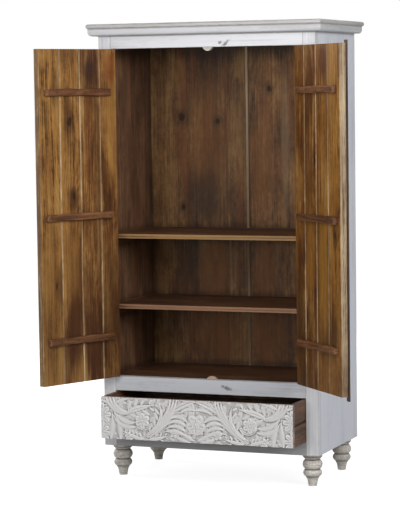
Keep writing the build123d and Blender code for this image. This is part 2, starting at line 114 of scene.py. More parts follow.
class Lay(Enum):
    """How a board lies, as the turn that brings its width to X, its thickness to Y and its grain to Z."""

    STANDING = (0.0, 0.0, 0.0)  # grain up, width along X
    STANDING_DEEP = (0.0, 0.0, -math.pi / 2)  # grain up, width along Y
    RAIL = (0.0, -math.pi / 2, 0.0)  # grain along X, width up
    SHELF = (-math.pi / 2, -math.pi / 2, 0.0)  # grain along X, width along Y
    DEEP = (math.pi / 2, 0.0, math.pi / 2)  # grain along Y, width up


@dataclass(frozen=True)
class Knot:
    """A knot or a crack round one, by its place on a face that looks along Y.

    Attributes:
        x, z: centre, in millimetres.
        wide, tall: half sizes of the dark heart, in millimetres.
        lean: turn of the heart in the plane of the face, in degrees anticlockwise.
    """

    x: float
    z: float
    wide: float = 8.0
    tall: float = 12.0
    lean: float = 0.0


@dataclass(frozen=True)
class Patch:
    """The box that a board fills, for wear that follows its edges.

    Attributes:
        centre: middle of the box, in metres.
        half: half of the box's size along X, Y and Z, in metres.
    """

    centre: Triple
    half: Triple

    @classmethod
    def of(cls, node: str) -> "Patch":
        """The box of a node that lies square to the frame's axes."""
        low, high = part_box(node)
        return cls(tuple((low + high) / 2), tuple((high - low) / 2))


@dataclass(frozen=True)
class Surface:
    """What a finish gives a shader.

    Attributes:
        colour: socket of the base colour.
        roughness: socket of the roughness.
        height: socket of the bump's height, from 0 to 1.
        relief: the bump's real height, in metres.
    """

    colour: Socket
    roughness: Socket
    height: Socket
    relief: float


class Shader:
    """A material's node tree with its Principled shader, while a finish fills it in."""

    def __init__(self, name: str) -> None:
        """Makes an empty material.

        Args:
            name: name of the material.
        """
        self.material = bpy.data.materials.new(name)
        self.material.use_nodes = True
        self.tree = self.material.node_tree
        self.principled = self.tree.nodes["Principled BSDF"]
        self.place = self.add("ShaderNodeTexCoord").outputs["Object"]

    def add(self, kind: str, inputs: dict | None = None, **settings: object) -> bpy.types.Node:
        """Adds a node to this material, as add_node does."""
        return add_node(self.tree, kind, inputs, **settings)

    def maths(self, operation: str, *values: Value) -> Socket:
        """The result of one Math node."""
        return self.add("ShaderNodeMath", dict(enumerate(values)), operation=operation).outputs[0]

    def parted(self, place: Socket | None = None) -> tuple[Socket, Socket, Socket]:
        """X, Y and Z of a place, or of the shaded point, in metres."""
        return tuple(self.add("ShaderNodeSeparateXYZ", {0: self.place if place is None else place}).outputs)

    def total(self, base: float, *terms: tuple[Value, float]) -> Socket:
        """Adds weighted values.

        Args:
            base: number to start from.
            terms: pairs of a value and its weight.

        Returns:
            Base plus each value times its weight.
        """
        result: Value = base
        for value, weight in terms:
            made = self.add("ShaderNodeMath", {0: value, 1: weight, 2: result}, operation="MULTIPLY_ADD")
            result = made.outputs[0]
        return result

    def smooth(self, value: Value, low: float, high: float) -> Socket:
        """Makes a smooth step.

        Args:
            value: what the step follows.
            low, high: where the step is 0 and 1; a low above high makes it fall.

        Returns:
            A share from 0 to 1.
        """
        falls = low > high
        inputs = {"Value": value, 1: min(low, high), 2: max(low, high),
                  3: 1.0 if falls else 0.0, 4: 0.0 if falls else 1.0}
        return self.add("ShaderNodeMapRange", inputs, interpolation_type="SMOOTHSTEP").outputs[0]

    def band(self, value: Value, middle: float, wide: float, narrow: float, rough: Socket,
             ragged: float) -> Socket:
        """Makes a band with ragged edges.

        Args:
            value: what the band follows, such as a height.
            middle: value in the middle of the band.
            wide, narrow: distances from the middle where the band has ended and where it is full.
            rough: noise from 0 to 1 that makes the edges ragged.
            ragged: how far it moves them each way.

        Returns:
            A share from 0 outside the band to 1 in it.
        """
        away = self.maths("ABSOLUTE", self.maths("SUBTRACT", value, middle))
        return self.smooth(self.total(-ragged, (away, 1.0), (rough, 2 * ragged)), wide, narrow)

    def mix(self, share: Value, first: Value, second: Value) -> Socket:
        """The number that goes from first to second as share goes from 0 to 1."""
        return self.add("ShaderNodeMix", {0: share, 2: first, 3: second}).outputs[0]

    def blend(self, share: Value, first: Value, second: Value, strength: float = 1.0) -> Socket:
        """Goes from one colour to another.

        Args:
            share: 0 for the first colour and 1 for the second.
            first, second: colours, each a socket or an sRGB hex.
            strength: number that the share is multiplied by.

        Returns:
            The colour between them.
        """
        if strength != 1.0:
            share = self.maths("MULTIPLY", share, strength)
        first, second = (linear(one) if isinstance(one, str) else one for one in (first, second))
        return self.add("ShaderNodeMix", {0: share, 6: first, 7: second}, data_type="RGBA").outputs[2]

    def noise(self, place: Socket, across: float, along: float | None = None, detail: float = 2.0,
              rough: float = 0.5) -> Socket:
        """Makes smooth noise.

        Args:
            place: coordinates in metres.
            across: waves per metre along X and Y.
            along: waves per metre along Z, or None for the same as across.
            detail: number of finer octaves.
            rough: strength of each octave against the last.

        Returns:
            The noise, from 0 to 1.
        """
        if along is not None:
            stretch = {"Vector": place, "Scale": (across, across, along)}
            place = self.add("ShaderNodeMapping", stretch).outputs[0]
            across = 1.0
        inputs = {"Vector": place, "Scale": across, "Detail": detail, "Roughness": rough}
        return self.add("ShaderNodeTexNoise", inputs).outputs[0]

    def laid(self, lay: Lay, centre: Triple, turn: float = 0.0) -> Socket:
        """A board's own coordinates from its centre: width along X, thickness Y and grain Z.

        Args:
            lay: how the board lies once it is square to the axes.
            centre: the board's centre, in metres, once it is square to the axes.
            turn: turn about Z in radians that brings the board square to the axes first.

        Returns:
            The coordinates.
        """
        squared = self.add("ShaderNodeMapping", {"Vector": self.place, "Rotation": (0.0, 0.0, turn),
                                                 "Location": tuple(-part for part in centre)})
        if lay is Lay.STANDING:
            return squared.outputs[0]
        return self.add("ShaderNodeMapping", {"Vector": squared.outputs[0], "Rotation": lay.value}).outputs[0]

    def edge_distance(self, patch: Patch) -> Socket:
        """Measures how far a point on a box lies from the box's nearest edge.

        Of the distances to the three pairs of faces, the middle one is the distance to the nearest
        edge, because the least is zero on the surface.

        Args:
            patch: the box.

        Returns:
            The distance in metres.
        """
        moved = self.add("ShaderNodeVectorMath", {0: self.place, 1: patch.centre}, operation="SUBTRACT")
        size = self.add("ShaderNodeVectorMath", {0: moved.outputs[0]}, operation="ABSOLUTE")
        inset = self.add("ShaderNodeVectorMath", {0: patch.half, 1: size.outputs[0]}, operation="SUBTRACT")
        x, y, z = self.parted(inset.outputs[0])
        return self.maths("MAXIMUM", self.maths("MINIMUM", x, y),
                          self.maths("MINIMUM", self.maths("MAXIMUM", x, y), z))

    def knot_distance(self, knot: Knot, turn: float = 0.0) -> Socket:
        """Measures how far a point lies from a knot's centre.

        Args:
            knot: the knot.
            turn: turn about Z in radians that brings its board square to the axes.

        Returns:
            The distance as a share of the knot's size, 1 at the edge of its heart.
        """
        place = self.place
        for settings in ({"Rotation": (0.0, 0.0, turn), "Location": (-knot.x * MM, 0.0, -knot.z * MM)},
                         {"Rotation": (0.0, math.radians(knot.lean), 0.0)},
                         {"Scale": (1 / (knot.wide * MM), 0.0, 1 / (knot.tall * MM))}):
            place = self.add("ShaderNodeMapping", {"Vector": place, **settings}).outputs[0]
        return self.add("ShaderNodeVectorMath", {0: place}, operation="LENGTH").outputs["Value"]

    def finish(self, surface: Surface, specular: float) -> bpy.types.Material:
        """Feeds the shader with a surface and returns the material.

        Args:
            surface: colour, roughness and bump.
            specular: strength of the reflection, where 0.5 is an index of refraction of 1.5.

        Returns:
            The finished material.
        """
        bump = self.add("ShaderNodeBump", {"Height": surface.height, "Distance": surface.relief})
        for name, socket in (("Base Color", surface.colour), ("Roughness", surface.roughness),
                             ("Normal", bump.outputs[0])):
            self.tree.links.new(socket, self.principled.inputs[name])
        self.principled.inputs["Specular IOR Level"].default_value = specular
        return self.material


# ------------------------------------------------------------------ finishes
@dataclass(frozen=True)
class Stain:
    """A soft patch of another colour in a board, such as heartwood or a pale wave.

    Attributes:
        spot: its place and size.
        colour: sRGB hex.
        share: how strong it is.
    """

    spot: Knot
    colour: str = "33190e"
    share: float = 0.6


@dataclass(frozen=True)
class Finish:
    """What one piece is finished with.

    Attributes:
        piece: name of the piece that wears it.
        family: first part of the material's name; the piece's name follows it.
        shine: strength of the reflection.
    """

    piece: str
    family: ClassVar[str] = "finish"
    shine: ClassVar[float] = 0.5

    def surface(self, shader: Shader) -> Surface:
        """Builds the surface in the material's nodes; each kind of finish has its own."""
        raise NotImplementedError

    def material(self) -> bpy.types.Material:
        """The piece's material."""
        shader = Shader(f"{self.family}_{self.piece}")
        return shader.finish(self.surface(shader), self.shine)


@dataclass(frozen=True)
class StainedMango(Finish):
    """Mango wood under a brown stain and wax: cathedral figure, golden to red brown, soft sheen.

    Attributes:
        lay: how the board lies.
        centre: the board's centre, in metres, once it is square to the axes.
        turn: turn about Z in radians that brings the board square to the axes.
        seed: shifts the figure, so that no two boards look alike.
        pale, body, red, dark: sRGB hex of golden streaks, of the body, of red and of dark streaks.
        board: width in millimetres of the boards that a panel is glued up from, or 0 for one board.
        contrast: strength of the figure.
        straight: strength of its streaks and fibres against its blotches.
        heart: strength of the dark heartwood patches.
        knots: knots at chosen places, in the axes of the squared board.
        stains: coloured patches at chosen places.
        patch: the board's box, if its arrises are rubbed.
        rubbed: sRGB hex of rubbed arrises.
        rub_width: width of the rubbed arrises, in millimetres.
        ring_pitch: distance between growth rings, in millimetres, coarse enough to show.
        knot_heart: sRGB hex of a knot's heart.
    """

    lay: Lay = Lay.STANDING
    centre: Triple = (0.0, 0.0, 0.0)
    turn: float = 0.0
    seed: float = 0.0
    pale: str = "a47c47"
    body: str = "795330"
    red: str = "5f3419"
    dark: str = "402614"
    board: float = 0.0
    contrast: float = 1.0
    straight: float = 1.0
    heart: float = 0.5
    knots: tuple[Knot, ...] = ()
    stains: tuple[Stain, ...] = ()
    patch: Patch | None = None
    rubbed: str = "b58c66"
    rub_width: float = 2.5
    ring_pitch: float = 8.5
    knot_heart: str = "1d110b"
    family: ClassVar[str] = "stained_mango"
    shine: ClassVar[float] = 0.2

    def glued(self, shader: Shader) -> tuple[Socket, Socket, Socket, Value]:
        """Parts a panel into the boards that it is glued up from.

        Each board's width starts again from its middle, and its figure is taken from another place
        along the grain.

        Args:
            shader: the material.

        Returns:
            Places across, through and along the board, and the board's own chance from 0 to 1.
        """
        across, thick, along = shader.parted(shader.laid(self.lay, self.centre, self.turn))
        if not self.board:
            return across, thick, along, 0.5
        number = shader.maths("FLOOR", shader.maths("DIVIDE", across, self.board * MM))
        chance = shader.add("ShaderNodeTexWhiteNoise", {"W": shader.maths("ADD", number, self.seed)},
                            noise_dimensions="1D").outputs[0]
        start = shader.maths("MULTIPLY", shader.maths("ADD", number, 0.5), self.board * MM)
        return (shader.maths("SUBTRACT", across, start), thick,
                shader.total(0.0, (along, 1.0), (chance, 9.0)), chance)

    def rings(self, shader: Shader, local: Socket, across: Socket, thick: Socket, chance: Value) -> Socket:
        """Growth rings: a sine of the distance from the pith.

        The pith's line lies behind the face and wanders along the board, so that the face cuts the
        rings in arches.

        Args:
            shader: the material.
            local: the board's own coordinates.
            across, thick: places across and through the board.
            chance: the board's own chance.

        Returns:
            The rings, from -1 to 1.
        """
        wander = shader.noise(local, 1.5, 1.3, 1.0)
        sway = shader.noise(local, 7.0, 2.4, 2.0)
        offset = (self.seed * 0.37 % 1.0 - 0.5) * 0.05
        pith_across = shader.total(offset, (across, 1.0), (sway, 0.03), (chance, 0.04))
        pith_deep = shader.total(-0.045, (thick, 1.0), (wander, 0.17))
        squares = [shader.maths("MULTIPLY", part, part) for part in (pith_across, pith_deep)]
        radius = shader.total(0.0, (shader.maths("SQRT", shader.maths("ADD", *squares)), 1.0), (sway, 0.02))
        return shader.maths("SINE", shader.maths("MULTIPLY", radius, 2 * math.pi / (self.ring_pitch * MM)))

    def surface(self, shader: Shader) -> Surface:
        """Builds the figure: rings, and streaks, fibres and blotches drawn out along the grain.

        Streaks are about 11 mm apart and fibres 4 mm, coarse enough to show.

        Args:
            shader: the material.

        Returns:
            The wood's surface.
        """
        across, thick, along, chance = self.glued(shader)
        shift = (self.seed * 1.7, self.seed * 0.9, self.seed * 3.1)
        local = shader.add("ShaderNodeCombineXYZ", {0: across, 1: thick, 2: along}).outputs[0]
        local = shader.add("ShaderNodeVectorMath", {0: local, 1: shift}, operation="ADD").outputs[0]
        rings = self.rings(shader, local, across, thick, chance)
        blotch = shader.noise(local, 11.0, 3.0, 5.0, 0.65)
        streak = shader.noise(local, 90.0, 1.6, 3.0, 0.7)
        fibre = shader.noise(local, 230.0, 4.5, 1.0, 0.5)
        ripple = shader.noise(local, 48.0, 30.0, 4.0, 0.7)
        parts = ((blotch, 1.15), (streak, 0.85 * self.straight), (fibre, 0.60 * self.straight),
                 (ripple, 0.50))
        middle = 0.5 - 0.5 * self.contrast * sum(weight for _, weight in parts)
        tone = shader.total(middle, (rings, 0.055 * self.contrast * self.straight),
                            *[(part, weight * self.contrast) for part, weight in parts])
        if self.board:
            tone = shader.total(-0.09, (tone, 1.0), (chance, 0.18))
        stops = [(0.22, linear(self.dark)), (0.5, linear(self.body)), (0.80, linear(self.pale))]
        colour = shader.add("ShaderNodeValToRGB", {0: tone}, stops=stops).outputs[0]
        redness = shader.smooth(shader.noise(local, 17.0, 1.5, 2.0), 0.52, 0.68)
        colour = shader.blend(redness, colour, self.red, 0.5)
        heartwood = shader.total(0.0, (shader.noise(local, 8.0, 1.6, 2.0), 0.80), (streak, 0.20))
        colour = shader.blend(shader.smooth(heartwood, 0.55, 0.60), colour, self.dark, self.heart)
        colour = self.marked(shader, colour, streak, blotch, ripple)
        return Surface(colour, shader.total(0.42, (fibre, 0.22)),
                       shader.total(0.0, (fibre, 0.7), (streak, 0.3)), 0.3 * MM)

    def marked(self, shader: Shader, colour: Socket, streak: Socket, blotch: Socket,
               ripple: Socket) -> Socket:
        """Adds the stains, the knots and the rubbed arrises.

        Args:
            shader: the material.
            colour: the figure's colour.
            streak, blotch, ripple: noises that make the marks' edges ragged.

        Returns:
            The colour with the marks.
        """
        for stain in self.stains:
            away = shader.total(-0.75, (shader.knot_distance(stain.spot, self.turn), 1.0), (streak, 0.7),
                                (blotch, 0.8))
            colour = shader.blend(shader.smooth(away, 1.3, 0.45), colour, stain.colour, stain.share)
        for knot in self.knots:
            away = shader.total(-0.45, (shader.knot_distance(knot, self.turn), 1.0), (ripple, 0.9))
            colour = shader.blend(shader.smooth(away, 2.8, 0.9), colour, self.dark, 0.5)
            colour = shader.blend(shader.smooth(away, 1.15, 0.5), colour, self.knot_heart, 0.85)
        if self.patch:
            width = self.rub_width * MM
            near = shader.total(-width, (shader.edge_distance(self.patch), 1.0), (streak, 2.0 * width))
            colour = shader.blend(shader.smooth(near, width, 0.0), colour, self.rubbed, 0.8)
        return colour


@dataclass(frozen=True)
class ChamferedJoint(Finish):
    """Stained boards with a chamfered joint down the plane X = 0.

    The joint's left slope catches the light and its right one lies in shade, more so towards the
    top.

    Attributes:
        wood: finish of the boards.
        half: half width of the joint, in millimetres.
        fade: width over which its edges fade, in millimetres.
        lit, shaded: sRGB hex of the two slopes.
    """

    wood: StainedMango
    half: float = 8.2
    fade: float = 0.6
    lit: str = "c9b497"
    shaded: str = "6b5440"
    family: ClassVar[str] = "stained_mango"
    shine: ClassVar[float] = 0.15

    def surface(self, shader: Shader) -> Surface:
        """Lays the joint over the wood.

        Args:
            shader: the material.

        Returns:
            The surface of the wood with the joint.
        """
        wood = self.wood.surface(shader)
        x, _, z = shader.parted()
        joint = shader.smooth(shader.maths("ABSOLUTE", x), self.half * MM, (self.half - self.fade) * MM)
        slope = shader.blend(shader.smooth(x, -0.2 * MM, 0.2 * MM), self.lit, self.shaded)
        strength = shader.total(0.35, (shader.smooth(z, 0.95, 1.75), 0.4))
        colour = shader.blend(shader.maths("MULTIPLY", joint, strength), wood.colour, slope)
        return replace(wood, colour=colour)


@dataclass(frozen=True)
class MilkPaint(Finish):
    """Thin white milk paint rubbed back to the wood on arrises: chalky, with the grain showing.

    Attributes:
        lay: how the board lies.
        seed: shifts the pattern, in metres.
        paint, thin: sRGB hex of full paint and of paint worn thin.
        wood: sRGB hex of the bare wood.
        wax: sRGB hex of old wax in the joints, also used for the painted shade in the seams.
        crack: sRGB hex of cracked knots.
        patch: the board's box, if its arrises are rubbed.
        rub_width: width of the rubbed arrises, in millimetres.
        rub: share of the bare wood that shows on the arrises.
        thinness: share of the faces where the paint is thin.
        cracks: places of cracked knots that show through the paint.
        joint: width of the wax at both ends along X, in millimetres, or 0 for none.
        joint_fade: width over which that wax fades, in millimetres.
        seams: heights of corners that are darkened as painted shade, in millimetres.
    """

    lay: Lay = Lay.STANDING
    seed: float = 0.0
    paint: str = "dedfe3"
    thin: str = "b5b4b5"
    wood: str = "8f7767"
    wax: str = "6f675f"
    crack: str = "6b6662"
    patch: Patch | None = None
    rub_width: float = 2.2
    rub: float = 0.6
    thinness: float = 0.45
    cracks: tuple[Knot, ...] = ()
    joint: float = 0.0
    joint_fade: float = 1.8
    seams: tuple[float, ...] = ()
    family: ClassVar[str] = "milk_paint"
    shine: ClassVar[float] = 0.35

    def surface(self, shader: Shader) -> Surface:
        """Builds the paint: its thickness is a noise drawn out along the grain, with fine brush lines.

        Args:
            shader: the material.

        Returns:
            The paint's surface.
        """
        laid = shader.laid(self.lay, (self.seed, 0.6 * self.seed, 0.3 * self.seed))
        cloud = shader.noise(laid, 5.0, 1.6, 3.0)
        streak = shader.noise(laid, 130.0, 2.6, 4.0, 0.65)
        mottle = shader.noise(laid, 70.0, 30.0, 3.0, 0.6)
        worn = shader.smooth(shader.total(0.0, (cloud, 0.45), (streak, 0.4), (mottle, 0.15)), 0.46, 0.62)
        colour = shader.blend(worn, self.paint, self.thin, self.thinness)
        line = shader.smooth(shader.noise(laid, 60.0, 0.9, 2.0, 0.7), 0.66, 0.72)
        colour = shader.blend(line, colour, self.wood, 0.10)
        colour = self.marked(shader, colour, mottle)
        return Surface(colour, shader.total(0.52, (streak, 0.2)),
                       shader.total(0.0, (streak, 0.6), (mottle, 0.4)), 0.25 * MM)

    def marked(self, shader: Shader, colour: Socket, mottle: Socket) -> Socket:
        """Adds the rubbed arrises, the wax in joints, the painted shade in seams, and the cracked knots.

        Args:
            shader: the material.
            colour: the paint's colour.
            mottle: noise that makes the marks' edges ragged.

        Returns:
            The colour with the marks.
        """
        x, _, z = shader.parted()
        if self.patch:
            width = self.rub_width * MM
            near = shader.total(-1.2 * width, (shader.edge_distance(self.patch), 1.0), (mottle, 2.4 * width))
            colour = shader.blend(shader.smooth(near, width, 0.2 * width), colour, self.wood, self.rub)
        if self.joint and self.patch:
            end = shader.maths("ABSOLUTE", shader.maths("SUBTRACT", x, self.patch.centre[0]))
            full = self.patch.half[0] - self.joint * MM
            wax = shader.smooth(end, full - self.joint_fade * MM, full)
            colour = shader.blend(wax, colour, self.wax, 0.6)
        # painted shade: a dark band along each seam, where the cornice and the slab would shade the paint
        for seam in self.seams:
            wax = shader.band(z, seam * MM, 6 * MM, 0.5 * MM, mottle, 2 * MM)
            colour = shader.blend(wax, colour, self.wax, 0.6)
        for knot in self.cracks:
            fine = shader.noise(shader.place, 160.0, 160.0, 3.0, 0.7)
            away = shader.total(-1.0, (shader.knot_distance(knot), 1.0), (fine, 1.9))
            colour = shader.blend(shader.smooth(away, 0.75, 0.2), colour, self.crack, 0.85)
        return colour


@dataclass(frozen=True)
class PaintedOutside(Finish):
    """A board that is painted on its outer side and stained on its inner one.

    Attributes:
        paint: the outer finish.
        stain: the inner finish.
        edge: distance from the middle of the cabinet, along X, at which the paint begins, in metres.
        corner: Y of the back corner, towards which the stain is darkened as painted shade, in metres.
        corner_width: distance from the corner at which that begins, in metres.
        painted_shade: sRGB hex of that painted shade in the corner.
    """

    paint: MilkPaint
    stain: StainedMango
    edge: float
    corner: float
    corner_width: float = 0.11
    painted_shade: str = "1c1815"
    family: ClassVar[str] = "milk_paint_over_stained_mango"
    shine: ClassVar[float] = 0.35

    def surface(self, shader: Shader) -> Surface:
        """Parts the two finishes by the distance from the plane X = 0.

        Args:
            shader: the material.

        Returns:
            The board's surface.
        """
        outer, inner = self.paint.surface(shader), self.stain.surface(shader)
        x, y, _ = shader.parted()
        share = shader.smooth(shader.maths("ABSOLUTE", x), self.edge, self.edge + 0.5 * MM)
        # painted shade: the inner stain darkens towards the back corner
        near = shader.smooth(shader.total(0.02, (y, 1.0), (inner.height, -0.04)),
                             self.corner - self.corner_width, self.corner)
        colour = shader.blend(share, shader.blend(near, inner.colour, self.painted_shade, 0.65), outer.colour)
        return Surface(colour, shader.mix(share, inner.roughness, outer.roughness),
                       shader.mix(share, inner.height, outer.height), outer.relief)


@dataclass(frozen=True)
class PaintedFace(Finish):
    """A strip on a door that is painted on its face and stained on its edges and its back.

    Attributes:
        paint: finish of the face.
        stain: finish of the other sides; its turn brings the door square to the axes.
        face: the face's Y once it is square to the axes, in metres.
    """

    paint: MilkPaint
    stain: StainedMango
    face: float
    family: ClassVar[str] = "milk_paint_over_stained_mango"
    shine: ClassVar[float] = 0.35

    def surface(self, shader: Shader) -> Surface:
        """Parts the two finishes just behind the face.

        Args:
            shader: the material.

        Returns:
            The strip's surface.
        """
        outer, inner = self.paint.surface(shader), self.stain.surface(shader)
        depth = shader.parted(shader.laid(Lay.STANDING, (0.0, 0.0, 0.0), self.stain.turn))[1]
        share = shader.smooth(shader.total(-0.5 * MM, (depth, 1.0), (outer.height, 1.0 * MM)),
                              self.face + 1.2 * MM, self.face + 0.4 * MM)
        colour = shader.blend(share, inner.colour, outer.colour)
        return Surface(colour, shader.mix(share, inner.roughness, outer.roughness), outer.height,
                       outer.relief)


@dataclass(frozen=True)
class CarvedPaint(Finish):
    """White milk paint on carving, with a painted highlight on the crests and painted shade low down and in
    the creases.

    The mesh's "relief" attribute is 0 in the ground and 1 on the uncut face. Its "crest" attribute
    is above 0.5 on ridges and below it in creases.

    Attributes:
        crest, paint, ground: sRGB hex of the painted highlight on crests, of the paint on slopes and of the
            painted shade in the ground.
        crease: sRGB hex of old grey wax and painted shade in the creases.
        wood: sRGB hex of the bare wood.
    """

    crest: str = "ebe9e8"
    paint: str = "d8d6d5"
    ground: str = "b8b5b2"
    crease: str = "68635f"
    wood: str = "a08d7d"
    family: ClassVar[str] = "milk_paint_on_carving"
    shine: ClassVar[float] = 0.3

    def surface(self, shader: Shader) -> Surface:
        """Builds the paint from the carving's own depth and curvature: the deeper, the darker, as painted
        shade.

        Args:
            shader: the material.

        Returns:
            The paint's surface.
        """
        relief, crest = (shader.add("ShaderNodeAttribute", attribute_name=name).outputs["Fac"]
                         for name in ("relief", "crest"))
        mottle = shader.noise(shader.place, 110.0, None, 4.0, 0.6)
        depth = shader.total(-0.12, (relief, 1.0), (mottle, 0.24))
        bend = shader.total(-0.07, (crest, 1.0), (mottle, 0.14))
        # painted shade that deepens with the carving, a painted highlight on crests, and painted shade with
        # wax in creases
        colour = shader.blend(shader.smooth(depth, 0.05, 0.65), self.ground, self.paint)
        colour = shader.blend(shader.smooth(bend, 0.52, 0.72), colour, self.crest)
        colour = shader.blend(shader.smooth(bend, 0.44, 0.20), colour, self.crease, 0.8)
        bare = shader.smooth(shader.noise(shader.place, 30.0, None, 4.0, 0.7), 0.58, 0.72)
        colour = shader.blend(bare, colour, self.wood, 0.15)
        return Surface(colour, shader.total(0.60, (mottle, 0.16)), mottle, 0.3 * MM)


@dataclass(frozen=True)
class AgedSteel(Finish):
    """Mild steel hardware, browned with age: dull, with lighter rubbed spots.

    Attributes:
        bright, rust: sRGB hex of rubbed and of browned steel.
    """

    bright: str = "4f4a44"
    rust: str = "2a2019"
    family: ClassVar[str] = "aged_steel"

    def surface(self, shader: Shader) -> Surface:
        """Builds the steel from one noise of about 4 mm.

        Args:
            shader: the material.

        Returns:
            The steel's surface.
        """
        spots = shader.noise(shader.place, 220.0, None, 4.0, 0.6)
        colour = shader.blend(shader.smooth(spots, 0.42, 0.62), self.bright, self.rust)
        shader.principled.inputs["Metallic"].default_value = 0.8
        return Surface(colour, shader.total(0.38, (spots, 0.3)), spots, 0.05 * MM)


@dataclass(frozen=True)
class TurnedPaint(Finish):
    """Milk paint on a turned foot: worn on the beads, with a dark band of wax and painted shade in each
    turned groove.

    Attributes:
        grooves: heights of the grooves, in millimetres.
        paint, worn, groove: sRGB hex of full paint, of worn paint and of the wax and painted shade in the
            grooves.
    """

    grooves: tuple[float, ...] = (40.0, 70.0, 110.0, 122.0)
    paint: str = "e6e2db"
    worn: str = "c0b8ac"
    groove: str = "645c53"
    family: ClassVar[str] = "milk_paint_on_turning"
    shine: ClassVar[float] = 0.35

    def surface(self, shader: Shader) -> Surface:
        """Builds mottled paint with a dark band a few millimetres high in each groove.

        Args:
            shader: the material.

        Returns:
            The paint's surface.
        """
        height = shader.parted()[2]
        mottle = shader.noise(shader.place, 120.0, None, 4.0, 0.65)
        streak = shader.noise(shader.place, 25.0, 260.0, 3.0)
        worn = shader.smooth(shader.total(0.0, (mottle, 0.6), (streak, 0.4)), 0.40, 0.60)
        colour = shader.blend(worn, self.paint, self.worn)
        for groove in self.grooves:
            # painted shade, with wax: a dark band in each groove
            wax = shader.band(height, groove * MM, 4.5 * MM, 0.5 * MM, mottle, 2.5 * MM)
            colour = shader.blend(wax, colour, self.groove, 0.75)
        return Surface(colour, shader.total(0.52, (mottle, 0.2)), streak, 0.3 * MM)


# ------------------------------------------------------------------ meshes
def solid(name: str, rings: np.ndarray, materials: list[bpy.types.Material], slots: np.ndarray | None = None,
          values: dict[str, np.ndarray] | None = None) -> bpy.types.Object:
    """A closed solid from rings of points: quads join each ring to the next, and a cap closes each end.

    Args:
        name: name of the piece.
        rings: points as an array of ring, place in the ring, and X, Y, Z in metres.
        materials: materials of the piece, by slot.
        slots: material slot of each place in the ring, for the quads that start there.
        values: attribute name to a value for each point, shaped as the rings without X, Y, Z.

    Returns:
        The object, linked to the scene, with its faces outward.
    """
    count, around = rings.shape[:2]
    index = np.arange(count * around).reshape(count, around)
    after = np.roll(index, -1, axis=1)
    quads = np.stack([index[:-1], after[:-1], after[1:], index[1:]], axis=-1).reshape(-1, 4)
    caps = [index[0][::-1], index[-1]]
    points = rings.reshape(-1, 3)
    a, b, c, d = (points[quads[:, k]] for k in range(4))
    volume = np.einsum("ij,ij->i", a, np.cross(b, c) + np.cross(c, d)).sum()
    if volume < 0:
        quads = quads[:, ::-1]
        caps = [cap[::-1] for cap in caps]
    mesh = bpy.data.meshes.new(name)
    mesh.from_pydata(points.tolist(), [], quads.tolist() + [cap.tolist() for cap in caps])
    for material in materials:
        mesh.materials.append(material)
    per_quad = np.zeros((count - 1, around), np.int32) if slots is None else np.tile(slots, (count - 1, 1))
    per_face = np.concatenate([per_quad.reshape(-1), [per_quad.max(), per_quad.max()]]).astype(np.int32)
    mesh.polygons.foreach_set("material_index", per_face)
    for label, value in (values or {}).items():
        layer = mesh.attributes.new(label, "FLOAT", "POINT")
        layer.data.foreach_set("value", value.astype(np.float32).reshape(-1))
    mesh.polygons.foreach_set("use_smooth", np.ones(len(mesh.polygons), bool))
    mesh.set_sharp_from_angle(angle=SHARP)
    mesh.update()
    made = bpy.data.objects.new(name, mesh)
    bpy.context.scene.collection.objects.link(made)
    return made


def place_piece(piece: bpy.types.Object, body: str, slot: str, *nodes: str) -> None:
    """Says what a new piece belongs to.

    Args:
        piece: the piece.
        body: body that it rides on.
        slot: its material slot; not used.
        nodes: nodes that it stands for.
    """
    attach(piece, body)
    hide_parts(*nodes)
    log.info("%s rides on %s and stands for %s", piece.name, body, ", ".join(nodes))


def dress(node: str, material: bpy.types.Material) -> None:
    """Gives a node of the frame its material.

    Args:
        node: name of the node.
        material: its material.
    """
    mesh = frame["nodes"][node].data
    mesh.materials.clear()
    mesh.materials.append(material)
    log.info("%s wears %s", node, material.name)


# ------------------------------------------------------------------ carving
def bezier(controls: np.ndarray, samples: int) -> np.ndarray:
    """Samples the Bezier curve over the given control points.

    Each point is the sum of the control points weighted by the Bernstein polynomials of its share
    along the curve.

    Args:
        controls: the control points, one in a row.
        samples: number of points.

    Returns:
        Array of the curve's points, one in a row.
    """
    degree = len(controls) - 1
    t = np.linspace(0, 1, samples)[:, None]
    order = np.arange(degree + 1)
    choose = np.array([math.comb(degree, int(k)) for k in order])
    return (choose * t ** order * (1 - t) ** (degree - order)) @ controls


